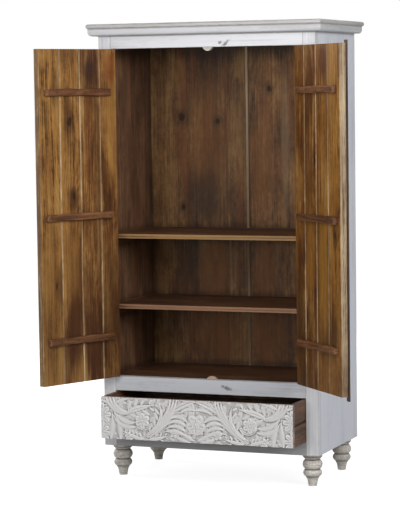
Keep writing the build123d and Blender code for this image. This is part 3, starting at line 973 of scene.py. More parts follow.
@dataclass
class Relief:
    """Carving over a flat face, from 0 in the ground to 1 at the uncut face.

    Attributes:
        width, height: size of the face, in millimetres.
        step: distance between samples, in millimetres.
        scale: size of the face against the drawing.
        u, w: places of the samples across and up the face.
        level: the carving's height at each sample.
    """

    width: float
    height: float
    step: float
    scale: float = 1.0
    u: np.ndarray = field(init=False)
    w: np.ndarray = field(init=False)
    level: np.ndarray = field(init=False)

    def __post_init__(self) -> None:
        """Lays out the samples, with the ground everywhere."""
        self.u = np.linspace(0, self.width, round(self.width / self.step) + 1)
        self.w = np.linspace(0, self.height, round(self.height / self.step) + 1)
        self.level = np.zeros((len(self.w), len(self.u)))

    def stroke(self, line: np.ndarray, half: np.ndarray, top: float = 1.0, ridges: int = 0,
               vein: float = 0.0, sag: float = 0.0, tilt: float = 0.0) -> None:
        """Raises a rounded bar along a line, where it stands above what is there.

        A sample's share s across the bar is its distance to the line over the bar's half width
        there. The bar's height is top times 1 - s squared to the power 0.65, lowered along the
        middle by vein, or by a cosine of s that leaves so many ridges, and tilted to one side.

        Args:
            line: points of the line, in millimetres.
            half: half width at each point, in millimetres.
            top: height of the bar's middle at its start.
            ridges: number of ridges along the bar, or 0 for a plain round.
            vein: depth of a groove along the middle, from 0 to 1.
            sag: how much lower the bar is at its end.
            tilt: how much higher its left side is than its middle, as a share of the height.
        """
        margin, thinnest, roundness, groove = 12.0, 0.05, 0.65, 0.22
        reach = float(half.max()) + margin
        low, high = line.min(0) - reach, line.max(0) + reach
        columns = slice(*np.searchsorted(self.u, (low[0], high[0])))
        rows = slice(*np.searchsorted(self.w, (low[1], high[1])))
        if columns.start == columns.stop or rows.start == rows.stop:
            return
        across, up = np.meshgrid(self.u[columns], self.w[rows])
        point = np.stack([across, up], axis=-1)[:, :, None, :]
        start, run = line[:-1], np.diff(line, axis=0)
        length = np.maximum((run ** 2).sum(-1), 1e-9)
        share = np.clip(((point - start) * run).sum(-1) / length, 0, 1)
        gap = point - (start + share[..., None] * run)
        width = np.maximum(half[:-1] + share * np.diff(half), thinnest)
        away = np.hypot(gap[..., 0], gap[..., 1])
        nearest = (away / width).argmin(-1)[..., None]

        def at_nearest(values: np.ndarray) -> np.ndarray:
            """The value of each sample's nearest piece of the line."""
            return np.take_along_axis(values, nearest, -1)[..., 0]

        s = at_nearest(away / width)
        side = at_nearest(np.sign(run[:, 0] * gap[..., 1] - run[:, 1] * gap[..., 0]))
        bar = np.clip(1 - s ** 2, 0, 1) ** roundness * (1 + tilt * s * side) / (1 + abs(tilt))
        if ridges:
            bar *= 0.72 + 0.28 * np.cos(np.pi * (ridges * (s * side + 1) + 1))
        if vein:
            bar *= 1 - vein * np.exp(-(s / groove) ** 2)
        along = (nearest[..., 0] + at_nearest(share)) / len(run)
        view = self.level[rows, columns]
        np.maximum(view, np.where(s < 1, (top - sag * along) * bar, 0), out=view)

    def finger(self, controls: ArrayLike, half: float, top: float = 0.95, widest: float = 0.62,
               vein: float = 0.3, sag: float = 0.0, tilt: float = 0.0) -> None:
        """One lobe along a Bezier curve: its width is a sine whose widest place lies where said.

        Args:
            controls: control points of the lobe's middle line, from its root to its tip.
            half: half width at its widest place.
            top: height of its middle.
            widest: share of the way to the tip at which it is widest.
            vein, sag, tilt: as in stroke.
        """
        line = bezier(np.array(controls, float), 16) * self.scale
        warped = np.linspace(0, 1, len(line)) ** (math.log(0.5) / math.log(widest))
        width = np.clip(np.sin(np.pi * warped), 0.03, 1) ** 0.8
        self.stroke(line, width * half * self.scale, top, 0, vein, sag, tilt)

    def plume(self, first: Points, last: Points, fingers: int, half: float, top: float = 0.95,
              widest: float = 0.7, sag: float = 0.15, tilt: float = 0.35) -> None:
        """Fingers side by side from one Bezier curve to another, as in a ridged acanthus leaf.

        Each finger is 1.3 times as wide as its share and higher on one side, so that the next one
        seems to come out from under it.

        Args:
            first, last: control points of the first and of the last finger.
            fingers: number of fingers.
            half: half of a finger's share of the width.
            top, widest, sag, tilt: as in finger.
        """
        ends = np.array(first, float), np.array(last, float)
        for share in np.linspace(0, 1, fingers):
            self.finger((1 - share) * ends[0] + share * ends[1], 1.3 * half, top, widest, 0.0, sag, tilt)

    def frond(self, controls: Points, half: float, reach: float, lobes: int, side: int = 0,
              top: float = 0.95) -> None:
        """An acanthus frond: a broad body with round lobes that grow forward from its edge.

        The lobes leave the body 80 degrees from its line and bend forward, so that their tips lie 50
        degrees from it. They are longest a third of the way up. Each one is higher on its forward
        side.

        Args:
            controls: control points of the frond's middle line, from its root to its tip.
            half: half width of the body.
            reach: length of the longest lobe.
            lobes: number of lobes on an edge.
            side: 1 for lobes on the left of the line, -1 for the right, 0 for both.
            top: height of the body.
        """
        bend, point = (0.80, 0.15), (0.98, 0.75)  # of a lobe: shares of its length out and forward
        spine = bezier(np.array(controls, float), 48)
        heading = np.gradient(spine, axis=0)
        heading /= np.linalg.norm(heading, axis=1)[:, None]
        shares = np.linspace(0.10, 0.90, lobes)
        for share in shares:
            at = int(share * (len(spine) - 1))
            length = reach * (0.55 + 0.45 * math.sin(math.pi * min(1.0, share + 0.15)))
            forward = heading[at]
            for edge in ((-1, 1) if side == 0 else (side,)):
                out = edge * np.array([-forward[1], forward[0]])
                turn = spine[at] + out * bend[0] * length + forward * bend[1] * length
                tip = spine[at] + out * point[0] * length + forward * point[1] * length
                self.finger((spine[at], turn, tip), 0.34 * length, top * 0.92, 0.60, 0.0, 0.1, -0.4 * edge)
        self.finger(controls, half, top, 0.42, 0.30)

    def rosette(self, centre: tuple[float, float], radius: float, petals: int, first: float = 90.0,
                span: float = 360.0, top: float = 0.95, slim: float = 1.0) -> None:
        """Petals about a centre with a button on it; a span under 360 degrees makes a fan.

        Args:
            centre: the middle of the flower.
            radius: distance to the petals' tips.
            petals: number of petals.
            first: direction of the first petal, in degrees.
            span: angle over which the petals are spread.
            top: height of the petals.
            slim: share of the full petal width.
        """
        joined, button = 0.92, 0.27  # a petal's share of its gap, and the button's of the radius
        gaps = petals if abs(span) == 360.0 else petals - 1
        middle = np.array(centre, float)
        for petal in range(petals):
            angle = math.radians(first + span * petal / gaps)
            way = np.array([math.cos(angle), math.sin(angle)])
            width = slim * radius * abs(math.sin(math.radians(span / gaps) / 2)) * joined
            self.finger([middle + way * radius * share for share in (0.12, 0.6, 1.0)], width, top, 0.66, 0.35)
        dot = np.array([middle, middle + 0.01]) * self.scale
        self.stroke(dot, np.full(2, button * radius * self.scale), 1.0)

    def scroll(self, centre: tuple[float, float], radius: float, first: float, turns: float, half: float,
               side: int = 1) -> None:
        """A stem that winds in to a centre: its radius shrinks by the same share each degree.

        Args:
            centre: the middle of the scroll.
            radius: radius at the outer end.
            first: direction of the outer end from the centre, in degrees.
            turns: number of turns.
            half: half width of the stem at the outer end.
            side: 1 to wind anticlockwise, -1 to wind clockwise.
        """
        shrink, thinning = 1.25, 0.55  # the radius falls to exp(-shrink) of itself in a turn
        t = np.linspace(0, 1, 48)
        angle = np.radians(first) + side * 2 * np.pi * turns * t
        reach = radius * np.exp(-shrink * turns * t)
        line = np.array(centre) + reach[:, None] * np.stack([np.cos(angle), np.sin(angle)], -1)
        self.stroke(line * self.scale, half * (1 - thinning * t) * self.scale, 0.95, 2)

    def undergrowth(self, pitch: float, seed: int) -> None:
        """Covers the ground with low leaflets that lie every way, so that none of it is bare.

        Their places are a grid shifted by up to a third of its pitch at random. Their directions
        follow a slow wave over the face, give or take half a radian.

        Args:
            pitch: distance between the leaflets, in millimetres.
            seed: seed of the random shifts.
        """
        chance = np.random.default_rng(seed)
        for x in np.arange(0, self.width + pitch, pitch):
            for z in np.arange(0, self.height + pitch, pitch):
                place = np.array([x, z]) + chance.uniform(-pitch / 3, pitch / 3, 2)
                angle = 2.2 * math.sin(x / 37) + 1.7 * math.cos(z / 29) + chance.uniform(-0.5, 0.5)
                way = np.array([math.cos(angle), math.sin(angle)])
                bend = np.array([-way[1], way[0]]) * chance.uniform(-0.3, 0.3)
                points = [place, place + (0.7 * way + bend) * pitch, place + 1.5 * way * pitch]
                self.finger(np.array(points) / self.scale, 0.60 * pitch, chance.uniform(0.42, 0.72), 0.6, 0.0,
                            0.0, 0.3)

    def around(self, reach: float) -> np.ndarray:
        """Levels out the field.

        Args:
            reach: distance in millimetres.

        Returns:
            The mean of the field and of its eight copies shifted by reach.
        """
        near = max(1, round(reach / self.step))
        total = np.zeros_like(self.level)
        shifts = [(dy, dx) for dy in (-near, 0, near) for dx in (-near, 0, near)]
        padded = np.pad(self.level, near, mode="edge")
        rows, columns = self.level.shape
        for dy, dx in shifts:
            total += padded[near + dy:near + dy + rows, near + dx:near + dx + columns]
        return total / len(shifts)

    def crest(self) -> np.ndarray:
        """Each sample's height over what is 2.5 and 6 mm round it, with 0.5 for a flat place."""
        rises = [share * (self.level - self.around(reach)) for reach, share in ((2.5, 0.9), (6.0, 0.8))]
        return np.clip(0.5 + (rises[0] + rises[1]), 0, 1)

    def gouge(self, floor: float, seed: int) -> None:
        """Lifts the ground and leaves small gouge marks all over.

        Args:
            floor: lowest level that is left.
            seed: seed of the marks.
        """
        chance = np.random.default_rng(seed)
        marks = chance.random(self.level.shape)
        marks = (marks + np.roll(marks, 1, 0) + np.roll(marks, 1, 1) + np.roll(marks, -1, 0)) / 4 - 0.5
        self.level = np.clip(np.maximum(self.level, floor) + 0.10 * marks, 0, 1)


@dataclass(frozen=True)
class Hand:
    """One half of a mirrored drawing.

    Attributes:
        middle: the drawing's centre line.
        side: 1 for the right half and -1 for the left one.
        low: height of the drawing's foot.
        size: millimetres in one unit of the drawing.
    """

    middle: float
    side: int
    low: float = 0.0
    size: float = 1.0

    def at(self, *points: tuple[float, float]) -> Points:
        """Points of the drawing on this side of the centre line."""
        return [(self.middle + self.side * x * self.size, self.low + z * self.size) for x, z in points]

    def spot(self, x: float, z: float) -> tuple[float, float]:
        """One point of the drawing on this side of the centre line."""
        return self.at((x, z))[0]

    def facing(self, angle: float) -> float:
        """A direction in degrees, mirrored for the left half."""
        return angle if self.side > 0 else 180.0 - angle


def drawer_carving(width: float, height: float, step: float) -> Relief:
    """The drawer's carving: a rosette under a canopy of leaves between two scrolling stems.

    The drawing is made for a board 174 mm high, from its middle to one end, and mirrored.

    Args:
        width, height: size of the face, in millimetres.
        step: distance between samples, in millimetres.

    Returns:
        The carving.
    """
    drawn_height = 174.0
    relief = Relief(width, height, step, height / drawn_height)
    relief.undergrowth(19.0, 3)
    middle = width / relief.scale / 2
    for side in (-1, 1):
        hand = Hand(middle, side)
        at, spot, facing = hand.at, hand.spot, hand.facing
        # stem of long leaves from the foot up to the top, with lobes on its outer edge
        relief.plume(at((82, 182), (86, 112), (140, 46), (222, 6)),
                     at((110, 184), (106, 112), (160, 58), (232, 14)), 3, 10, 1.0, 0.5, 0.1, 0.4 * side)
        relief.frond(at((214, 22), (160, 52), (136, 104), (162, 158)), 11, 38, 5, -side, 0.97)
        relief.frond(at((210, 4), (170, 6), (124, 22)), 9, 24, 4, 0, 0.92)
        # scroll with a small flower
        relief.scroll(spot(236, 80), 42, facing(200), 1.0, 9, side)
        relief.rosette(spot(236, 80), 27, 6, facing(90), 360.0, 0.95, 1.25)
        # canopy over the middle flower
        relief.finger(at((-2, 168), (56, 164), (118, 112)), 17, 1.0, 0.5, 0.45, 0.1, -0.3 * side)
        relief.finger(at((-4, 132), (34, 150), (74, 116)), 12, 0.95, 0.5, 0.0, 0.1, -0.4 * side)
        relief.frond(at((14, 176), (46, 166), (76, 178)), 8, 18, 3, 0, 0.85)
        # leaves on either side of the flower, and a calyx under it
        relief.plume(at((156, 44), (120, 118), (62, 120), (36, 82)),
                     at((150, 32), (116, 50), (80, 52), (52, 28)), 4, 10, 0.97, 0.70, 0.0, 0.45 * side)
        relief.rosette(spot(96, 34), 17, 5, facing(100), 360.0, 0.85)
        relief.rosette(spot(22, 44), 10, 4, facing(45), 360.0, 0.9)
        relief.plume(at((0, 8), (30, 6), (62, 38)), at((4, -6), (56, -2), (84, 18)), 2, 11, 0.95, 0.6, 0.1,
                     0.4 * side)
        # leaves between the stem and the upper corner
        relief.frond(at((304, 112), (262, 132), (190, 146)), 15, 44, 4, 0, 0.97)
        relief.plume(at((366, 182), (360, 136), (332, 112), (288, 114)),
                     at((400, 182), (384, 130), (344, 102), (290, 106)), 3, 9, 1.0, 0.45, 0.1, 0.4 * side)
        relief.frond(at((352, 150), (330, 166), (292, 170)), 9, 22, 3, 0, 0.85)
        relief.frond(at((216, 178), (240, 172), (270, 172)), 8, 18, 3, 0, 0.8)
        # leaves under them, to the lower corner
        relief.plume(at((362, 116), (340, 84), (300, 64), (266, 74)),
                     at((366, 100), (346, 60), (304, 44), (262, 56)), 2, 12, 0.97, 0.55, 0.1, 0.4 * side)
        relief.frond(at((234, 4), (272, 8), (322, 34)), 10, 26, 5, 0, 0.92)
        relief.plume(at((366, 118), (336, 76), (330, 36), (334, -8)),
                     at((372, 116), (362, 72), (372, 34), (378, -8)), 2, 13, 0.97, 0.62, 0.1, 0.4 * side)
        relief.rosette(spot(296, 12), 17, 5, 90.0, 360.0, 0.9)
        # half flowers at the end
        for z, outer, inner in ((100, 47, 27), (22, 43, 24)):
            relief.rosette(spot(424, z), outer, 5, facing(104), 152.0 * side, 0.9)
            relief.rosette(spot(424, z), inner, 4, facing(114), 132.0 * side, 1.0)
        relief.frond(at((384, 146), (404, 158), (424, 160)), 7, 20, 3, 0, 0.88)
    relief.rosette((middle, 74), 36, 5, 270.0, 360.0, 0.88, 1.15)
    relief.rosette((middle, 80), 20, 5, 90.0, 360.0, 1.0, 1.2)
    relief.gouge(0.20, 7)
    return relief


def door_carving(width: float, height: float, step: float, side: int) -> Relief:
    """A door's carving: a vine that winds up the face, with a scroll and a flower in each bend.

    Args:
        width, height: size of the face, in millimetres.
        step: distance between samples, in millimetres.
        side: -1 or 1; the two doors mirror each other.

    Returns:
        The carving, with a moulded border round it: a flat rim 16 mm wide and a bead.
    """
    cells, rim_width, rim_slope, bead_middle, bead_half, border = 4, 16.0, 2.5, 20.0, 3.6, 24.0
    pitch = height / cells
    relief = Relief(width, height, step)
    relief.undergrowth(22.0, 5)
    for cell in range(cells):
        turn = side if cell % 2 else -side
        hand = Hand(width / 2, turn, cell * pitch, pitch)
        at, spot, facing = hand.at, hand.spot, hand.facing
        relief.plume(at((0.10, -0.06), (-0.46, 0.16), (-0.44, 0.84), (0.10, 1.06)),
                     at((0.02, -0.06), (-0.54, 0.16), (-0.52, 0.84), (0.02, 1.06)), 3, 9, 1.0, 0.5, 0.0)
        relief.scroll(spot(0.12, 0.5), 0.36 * pitch, facing(180), 1.35, 13, -turn)
        for radius, petals, first, top in ((0.19, 9, 90, 0.9), (0.11, 6, 60, 1.0)):
            relief.rosette(spot(0.12, 0.5), radius * pitch, petals, facing(first), 360.0, top)
        for flip in (-1, 1):

            def up(*points: tuple[float, float]) -> Points:
                """Points of the cell, mirrored about its mid height for the lower half."""
                return at(*[(x, 0.5 + flip * (z - 0.5)) for x, z in points])

            relief.plume(up((-0.34, 0.56), (-0.50, 0.60), (-0.58, 0.72)),
                         up((-0.30, 0.74), (-0.36, 0.90), (-0.50, 0.97)), 6, 9, 0.92, 0.65)
            relief.plume(up((0.00, 0.90), (0.26, 0.84), (0.40, 0.62)),
                         up((0.06, 0.98), (0.40, 1.02), (0.58, 0.78)), 6, 9, 0.94, 0.6)
            relief.plume(up((-0.16, 0.80), (-0.10, 0.92), (0.02, 0.90)),
                         up((-0.08, 0.98), (-0.02, 1.02), (0.10, 0.98)), 3, 7, 0.85, 0.6)
            relief.frond(up((0.36, 0.94), (0.48, 0.98), (0.58, 0.94)), 10, 26, 4, 0, 0.85)
        relief.rosette(spot(0.60, 0.5), 50, 9, facing(100), 160.0 * turn, 0.9)
    u_edge = np.minimum(relief.u, relief.width - relief.u)[None, :]
    w_edge = np.minimum(relief.w, relief.height - relief.w)[:, None]
    inset = np.minimum(u_edge, w_edge)
    rim = np.clip((rim_width - inset) / rim_slope, 0, 1)
    bead = np.sqrt(np.clip(1 - ((inset - bead_middle) / bead_half) ** 2, 0, 1)) * 0.85
    relief.level = np.maximum.reduce([relief.level * (inset > border), rim, bead])
    relief.gouge(0.08, 11)
    return relief


# ------------------------------------------------------------------ doors
@dataclass
class Door:
    """One door: boards with a carved outer face, bars across the inside, hinges and screws.

    Attributes:
        hand: "left" or "right".
        side: -1 for the left door and 1 for the right one.
        tones: sRGB hex of the body colour of each board, from the hinge to the free edge.
        edge: sRGB hex of the free edge.
        knots, stains: for each board, by their distance from the hinge edge and their height; some stains are
            painted shade.
        depth: depth of the carving, in millimetres.
        chamfer: size of the chamfers beside the boards' joints, in millimetres.
        eased: size of the chamfers at the door's own edges, in millimetres.
        step: distance between the carving's samples, in millimetres.
        plate: thickness of a hinge plate, in millimetres.
    """

    hand: str
    side: int
    tones: tuple[str, ...]
    edge: str
    knots: tuple[tuple[Knot, ...], ...]
    stains: tuple[tuple[Stain, ...], ...]
    depth: float = 5.0
    chamfer: float = 4.2
    eased: float = 1.2
    step: float = 2.1
    plate: float = 2.0

    def __post_init__(self) -> None:
        """Reads the hinge and the closed leaf's box from the frame."""
        joint = next(one for one in frame["joints"] if one["child"] == f"{self.hand}_door")
        self.turn = math.radians(joint["range_deg"][0]) * joint["axis"][2]
        pivot = Vector(joint["pos_m"])
        spin = Matrix.Rotation(self.turn, 4, "Z")
        self.to_closed = Matrix.Translation(pivot) @ spin @ Matrix.Translation(-pivot)
        self.to_rest = self.to_closed.inverted()
        self.shift = np.array(self.to_closed.translation)
        self.boards = len(self.tones)
        boxes = [self.closed_box(self.board_node(number)) for number in range(self.boards)]
        self.outer, self.inner = boxes[0][0][1], boxes[0][1][1]
        self.bottom, self.top = boxes[0][0][2], boxes[0][1][2]
        hinge_edges = [abs(box[1 if self.side > 0 else 0][0]) for box in boxes]
        free_edge = abs(boxes[-1][0 if self.side > 0 else 1][0])
        self.hinge_x = hinge_edges[0]
        self.joints = [self.hinge_x - edge for edge in hinge_edges] + [self.hinge_x - free_edge]

    def board_node(self, number: int) -> str:
        """Name of a board's node, counted from the hinge."""
        return f"{self.hand}_door_plank_{number + 1}"

    def closed_points(self, node: str) -> np.ndarray:
        """Reads a node's points.

        Args:
            node: name of the node.

        Returns:
            Its points, turned to where they are with the door closed.
        """
        mesh = frame["nodes"][node].data
        points = np.empty(len(mesh.vertices) * 3, np.float32)
        mesh.vertices.foreach_get("co", points)
        matrix = np.array(self.to_closed)
        return points.reshape(-1, 3) @ matrix[:3, :3].T + matrix[:3, 3]

    def closed_box(self, node: str) -> tuple[np.ndarray, np.ndarray]:
        """Lowest and highest corner of a node with the door closed."""
        points = self.closed_points(node)
        return points.min(0), points.max(0)

    def swung(self, u: np.ndarray, y: np.ndarray, z: np.ndarray) -> np.ndarray:
        """Points of the door at rest.

        Args:
            u: distance from the hinge edge, in metres.
            y, z: depth and height with the door closed, in metres.

        Returns:
            Array of X, Y and Z.
        """
        points = np.stack([self.side * (self.hinge_x - u), y, z], axis=-1)
        matrix = np.array(self.to_rest)
        return points @ matrix[:3, :3].T + matrix[:3, 3]

    def squared(self, u: float, y: float, z: float) -> Triple:
        """A place on the closed door in the axes that a finish's turn gives."""
        return tuple(np.array([self.side * (self.hinge_x - u), y, z]) - self.shift)

    def build(self) -> None:
        """Makes and dresses everything that turns with the door."""
        width, height = self.joints[-1] / MM, (self.top - self.bottom) / MM
        carving = door_carving(width, height, self.step, self.side)
        crest = carving.crest()
        for number in range(self.boards):
            self.build_board(number, carving, crest)
        for number, name in enumerate(("top", "middle", "bottom")):
            self.build_bar(number, f"{self.hand}_door_batten_{name}")
        for name in (f"{self.hand}_door_hinge_leaves", f"{self.hand}_door_screws"):
            dress(name, AgedSteel(name).material())
        if self.side > 0:
            self.dress_strip("right_door_cover_strip")

    def dress_strip(self, node: str) -> None:
        """The strip that covers the gap between the doors: painted on its face, dark stain elsewhere.

        Args:
            node: name of the strip's node.
        """
        stain = StainedMango(node, turn=self.turn, seed=5.5, pale="4c3424", body="33231a", red="2e1a12",
                             dark="1f150f")
        paint = MilkPaint(node, Lay.STANDING, 6.2, paint="d9dadd", thin="b0afb0", thinness=0.6)
        face = self.squared(0.0, self.closed_box(node)[0][1], 0.0)[1]
        dress(node, PaintedFace(node, paint, stain, face).material())

    def mortises(self) -> list[tuple[float, float]]:
        """Finds the hinge plates from the hinge leaves' own points.

        The plates are what lies over 10 mm behind the outer face, and gaps of over 100 mm part them.

        Returns:
            Lowest and highest point of each plate, in metres.
        """
        behind, apart = 10 * MM, 100 * MM
        points = self.closed_points(f"{self.hand}_door_hinge_leaves")
        plates = points[points[:, 1] > self.outer + behind]
        heights = np.unique(np.round(plates[:, 2], 4))
        groups = np.split(heights, np.flatnonzero(np.diff(heights) > apart) + 1)
        return [(float(group.min()), float(group.max())) for group in groups]

    def board_rows(self, carving: Relief, crest: np.ndarray,
                   first: bool) -> tuple[np.ndarray, np.ndarray, np.ndarray, np.ndarray]:
        """Rows of a board, with the pockets for the hinge plates in the hinge board.

        The hinge board gets extra rows 0.05 mm inside and outside each pocket's ends, so that they
        are square.

        Args:
            carving: the door's carving.
            crest: its crests.
            first: whether it is the hinge board.

        Returns:
            Heights, carving and crest of the rows, and which rows lie in a pocket.
        """
        rows = self.bottom + carving.w * MM
        if not first:
            return rows, carving.level, crest, np.zeros(len(rows), bool)
        pockets = self.mortises()
        ends = [edge + way * 0.05 * MM for pocket in pockets for edge in pocket for way in (-1, 1)]
        heights = np.sort(np.concatenate([rows, ends]))
        level, ridge = (np.stack([np.interp(heights, rows, column) for column in values.T], axis=1)
                        for values in (carving.level, crest))
        inside = np.any([(heights > low) & (heights < high) for low, high in pockets], axis=0)
        return heights, level, ridge, inside

    def build_board(self, number: int, carving: Relief, crest: np.ndarray) -> None:
        """One board as a section carried up the door.

        A ring runs over the carved outer face from the hinge side, round the free side's chamfer,
        back over the inner face and round the hinge side's chamfer. The outer face lies deeper than
        the uncut face by the carving's depth times one minus its level, and the inner face is
        planed by hand: it dips by up to 0.4 mm in slow waves.

        Args:
            number: number of the board, from the hinge.
            carving: the door's carving.
            crest: its crests.
        """
        margin, dip, back_count = 0.5 * MM, 0.4 * MM, 9
        start, end = self.joints[number], self.joints[number + 1]
        first, last = number == 0, number == self.boards - 1
        heights, level, ridge, pocket = self.board_rows(carving, crest, first)
        places = carving.u * MM
        kept = places[(places > start + margin) & (places < end - margin)]
        columns = np.concatenate([[start], kept, [end]])
        level = np.stack([np.interp(columns, places, line) for line in level])
        ridge = np.stack([np.interp(columns, places, line) for line in ridge])
        thick = self.inner - self.outer
        free_cut = (self.eased if last else self.chamfer) * MM
        hinge_cut = (self.eased if first else self.chamfer) * MM
        count = len(heights)
        back_u = np.concatenate([[end], np.linspace(end - free_cut, start + hinge_cut, back_count), [start]])
        back_v = np.concatenate([[thick - free_cut], np.full(back_count, thick), [thick - hinge_cut]])
        u = np.tile(np.concatenate([columns, back_u]), (count, 1))
        v = np.concatenate([(1 - level) * self.depth * MM, np.tile(back_v, (count, 1))], axis=1)
        wave = np.abs(np.sin(heights * 9.0 + number))[:, None] * np.sin(np.pi * np.linspace(0, 1, back_count))
        v[:, len(columns) + 1:len(columns) + 1 + back_count] -= dip * wave
        u[:, 0] += self.plate * MM * pocket
        u[:, -1] += self.plate * MM * pocket
        points = self.swung(u, self.outer + v, np.broadcast_to(heights[:, None], u.shape))
        slots = np.zeros(u.shape[1], np.int32)
        slots[:len(columns) - 1] = 1
        slots[len(columns) - 1] = 3 if last else 2
        slots[[len(columns), len(columns) + back_count]] = 2
        slots[-1] = 2
        flat = np.ones((count, len(back_u)))
        values = {"relief": np.concatenate([level, flat], axis=1),
                  "crest": np.concatenate([ridge, 0.5 * flat], axis=1)}
        name = f"{self.hand}_door_board_{number + 1}"
        board = solid(name, points, self.board_materials(name, number), slots, values)
        place_piece(board, f"{self.hand}_door", "door_boards", self.board_node(number))

    def marks(self, knot: Knot) -> Knot:
        """A knot given by its distance from the hinge edge, in the axes that a finish's turn gives."""
        return replace(knot, x=self.squared(knot.x * MM, 0, 0)[0] / MM)

    def board_materials(self, name: str, number: int) -> list[bpy.types.Material]:
        """Makes a board's finishes.

        Args:
            name: name of the board.
            number: number of the board, from the hinge.

        Returns:
            Finishes of the inner face, the carved face, the chamfers and the free edge.
        """
        middle = (self.joints[number] + self.joints[number + 1]) / 2
        centre = self.squared(middle, self.inner, (self.bottom + self.top) / 2)
        stains = tuple(replace(stain, spot=self.marks(stain.spot)) for stain in self.stains[number])
        # painted shade: each board darkens towards its foot
        foot = Stain(Knot(centre[0] / MM, 540, 300, 270), "2a170c", 0.24)
        common = {"centre": centre, "turn": self.turn,
                  "seed": 3.1 * number + (7.7 if self.side > 0 else 0.0) + 1.3}
        face = StainedMango(name, body=self.tones[number], stains=stains + (foot,),
                            knots=tuple(self.marks(knot) for knot in self.knots[number]), **common)
        cut = StainedMango(f"{name}_chamfer", pale="bba381", body="8c7150", red="785a3f", dark="4f3b28",
                           **common)
        edge = StainedMango(f"{name}_edge", pale="b8a27e", body=self.edge, red="7b5a3f", dark="5d452f",
                            **common)
        return [face.material(), CarvedPaint(name).material(), cut.material(), edge.material()]

    def build_bar(self, number: int, node: str) -> None:
        """A hand-shaped bar across the inside.

        Its section is a superellipse, carried along the bar. Two sines each make its height and its
        middle waver by about a millimetre, and the ends slope down to a third of the thickness.

        Args:
            number: number of the bar, from the top.
            node: name of the node that it stands for.
        """
        waver, ripple, sunk, run = 0.9 * MM, 0.5 * MM, 0.3 * MM, 9 * MM
        low, high = self.closed_box(node)
        ends = sorted(self.hinge_x - abs(x) for x in (low[0], high[0]))
        middle, half = (low[2] + high[2]) / 2, (high[2] - low[2]) / 2
        thick = high[1] - self.inner
        trim = np.random.default_rng(17 * number + 5 + self.side).uniform(-2.5, 2.5, 2) * MM
        start, end = ends[0] + trim[0], ends[1] + trim[1]
        t = np.linspace(0, 1, 60)
        t = np.concatenate([[0.0], 0.03 * t[1:-1:12], 0.03 + 0.94 * t, 1 - 0.03 * t[-2:0:-12], [1.0]])
        t = np.unique(t)
        u = start + (end - start) * t
        phase = 2.1 * number + self.side
        tall = half + waver * np.sin(31 * u + phase) + ripple * np.sin(83 * u + 2 * phase)
        rise = middle + waver * np.sin(17 * u + 3 * phase)
        slope = np.clip(np.minimum(t, 1 - t) * (end - start) / run, 0, 1)
        deep = thick * (0.35 + 0.65 * slope ** 0.7) - 0.1 * MM
        tall = tall * (0.80 + 0.20 * slope ** 0.5)
        turn = np.linspace(0, 2 * np.pi, 28, endpoint=False)
        flat, lift = (np.sign(wave) * np.abs(wave) ** 0.38 for wave in (np.cos(turn), np.sin(turn)))
        z = rise[:, None] + tall[:, None] * flat
        y = self.inner - sunk + (deep[:, None] + sunk) * (0.5 + 0.5 * lift)
        points = self.swung(np.broadcast_to(u[:, None], z.shape), y, z)
        centre = self.squared((start + end) / 2, self.inner, middle)
        wood = StainedMango(node, Lay.RAIL, centre, self.turn, 2.3 + 1.7 * number + self.side, pale="8d6240",
                            body="68452c", red="5a3320", dark="402718")
        bar = solid(f"{self.hand}_door_bar_{number + 1}", points, [wood.material()])
        place_piece(bar, f"{self.hand}_door", "brown_wood", node)


# ------------------------------------------------------------------ drawer
@dataclass
class Drawer:
    """The drawer: a carved front, plain sides, back and bottom.

    Attributes:
        depth: depth of the carving, in millimetres.
        step: distance between the carving's samples, in millimetres.
    """

    depth: float = 8.5
    step: float = 1.35

    def build(self) -> None:
        """Makes the carved front and dresses the rest."""
        self.build_front()
        # painted shade: the back and the bottom are stained near black, for the shade inside the drawer
        for number, (name, lay, body) in enumerate((("drawer_side_left", Lay.DEEP, "5f4433"),
                                                    ("drawer_side_right", Lay.DEEP, "5f4433"),
                                                    ("drawer_back", Lay.RAIL, "35281f"),
                                                    ("drawer_bottom", Lay.SHELF, "31251e"))):
            patch = Patch.of(name)
            wood = StainedMango(name, lay, patch.centre, seed=3.3 * number, pale="7f5d45", body=body,
                                red="573627", dark="33241c", patch=patch, rubbed="8f7460", rub_width=1.4)
            dress(name, wood.material())

    def build_front(self) -> None:
        """The front as a section carried from end to end.

        A ring runs up the carved face and down the back, with the bottom's groove in it. The carved
        face lies behind the uncut one by the depth times one minus the carving's level.
        """
        low, high = (np.array(corner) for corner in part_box("drawer_front"))
        bottom_low, bottom_high = (np.array(corner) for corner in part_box("drawer_bottom"))
        size = (high - low) / MM
        carving = drawer_carving(size[0], size[2], self.step)
        level, crest = carving.level.T, carving.crest().T
        count, rows = level.shape
        x = low[0] + carving.u * MM
        z = low[2] + carving.w * MM
        back_y = np.array([high[1], high[1], bottom_low[1], bottom_low[1], high[1], high[1]])
        back_z = np.array([high[2], bottom_high[2], bottom_high[2], bottom_low[2], bottom_low[2], low[2]])
        face_y = low[1] + (1 - level) * self.depth * MM
        ring_y = np.concatenate([face_y, np.tile(back_y, (count, 1))], axis=1)
        ring_z = np.tile(np.concatenate([z, back_z]), (count, 1))
        ring_x = np.tile(x[:, None], (1, rows + len(back_y)))
        slots = np.ones(rows + len(back_y), np.int32)
        slots[:rows - 1] = 0
        flat = np.ones((count, len(back_y)))
        values = {"relief": np.concatenate([level, flat], axis=1),
                  "crest": np.concatenate([crest, 0.5 * flat], axis=1)}
        patch = Patch.of("drawer_front")
        wood = StainedMango("drawer_front_back", Lay.RAIL, patch.centre, seed=4.4, pale="a98d74",
                            body="8b735f", red="7d5f4b", dark="5c4536")
        front = solid("carved_drawer_front", np.stack([ring_x, ring_y, ring_z], axis=-1),
                      [CarvedPaint("drawer_front").material(), wood.material()], slots, values)
        place_piece(front, "drawer", "whitewashed_wood", "drawer_front")


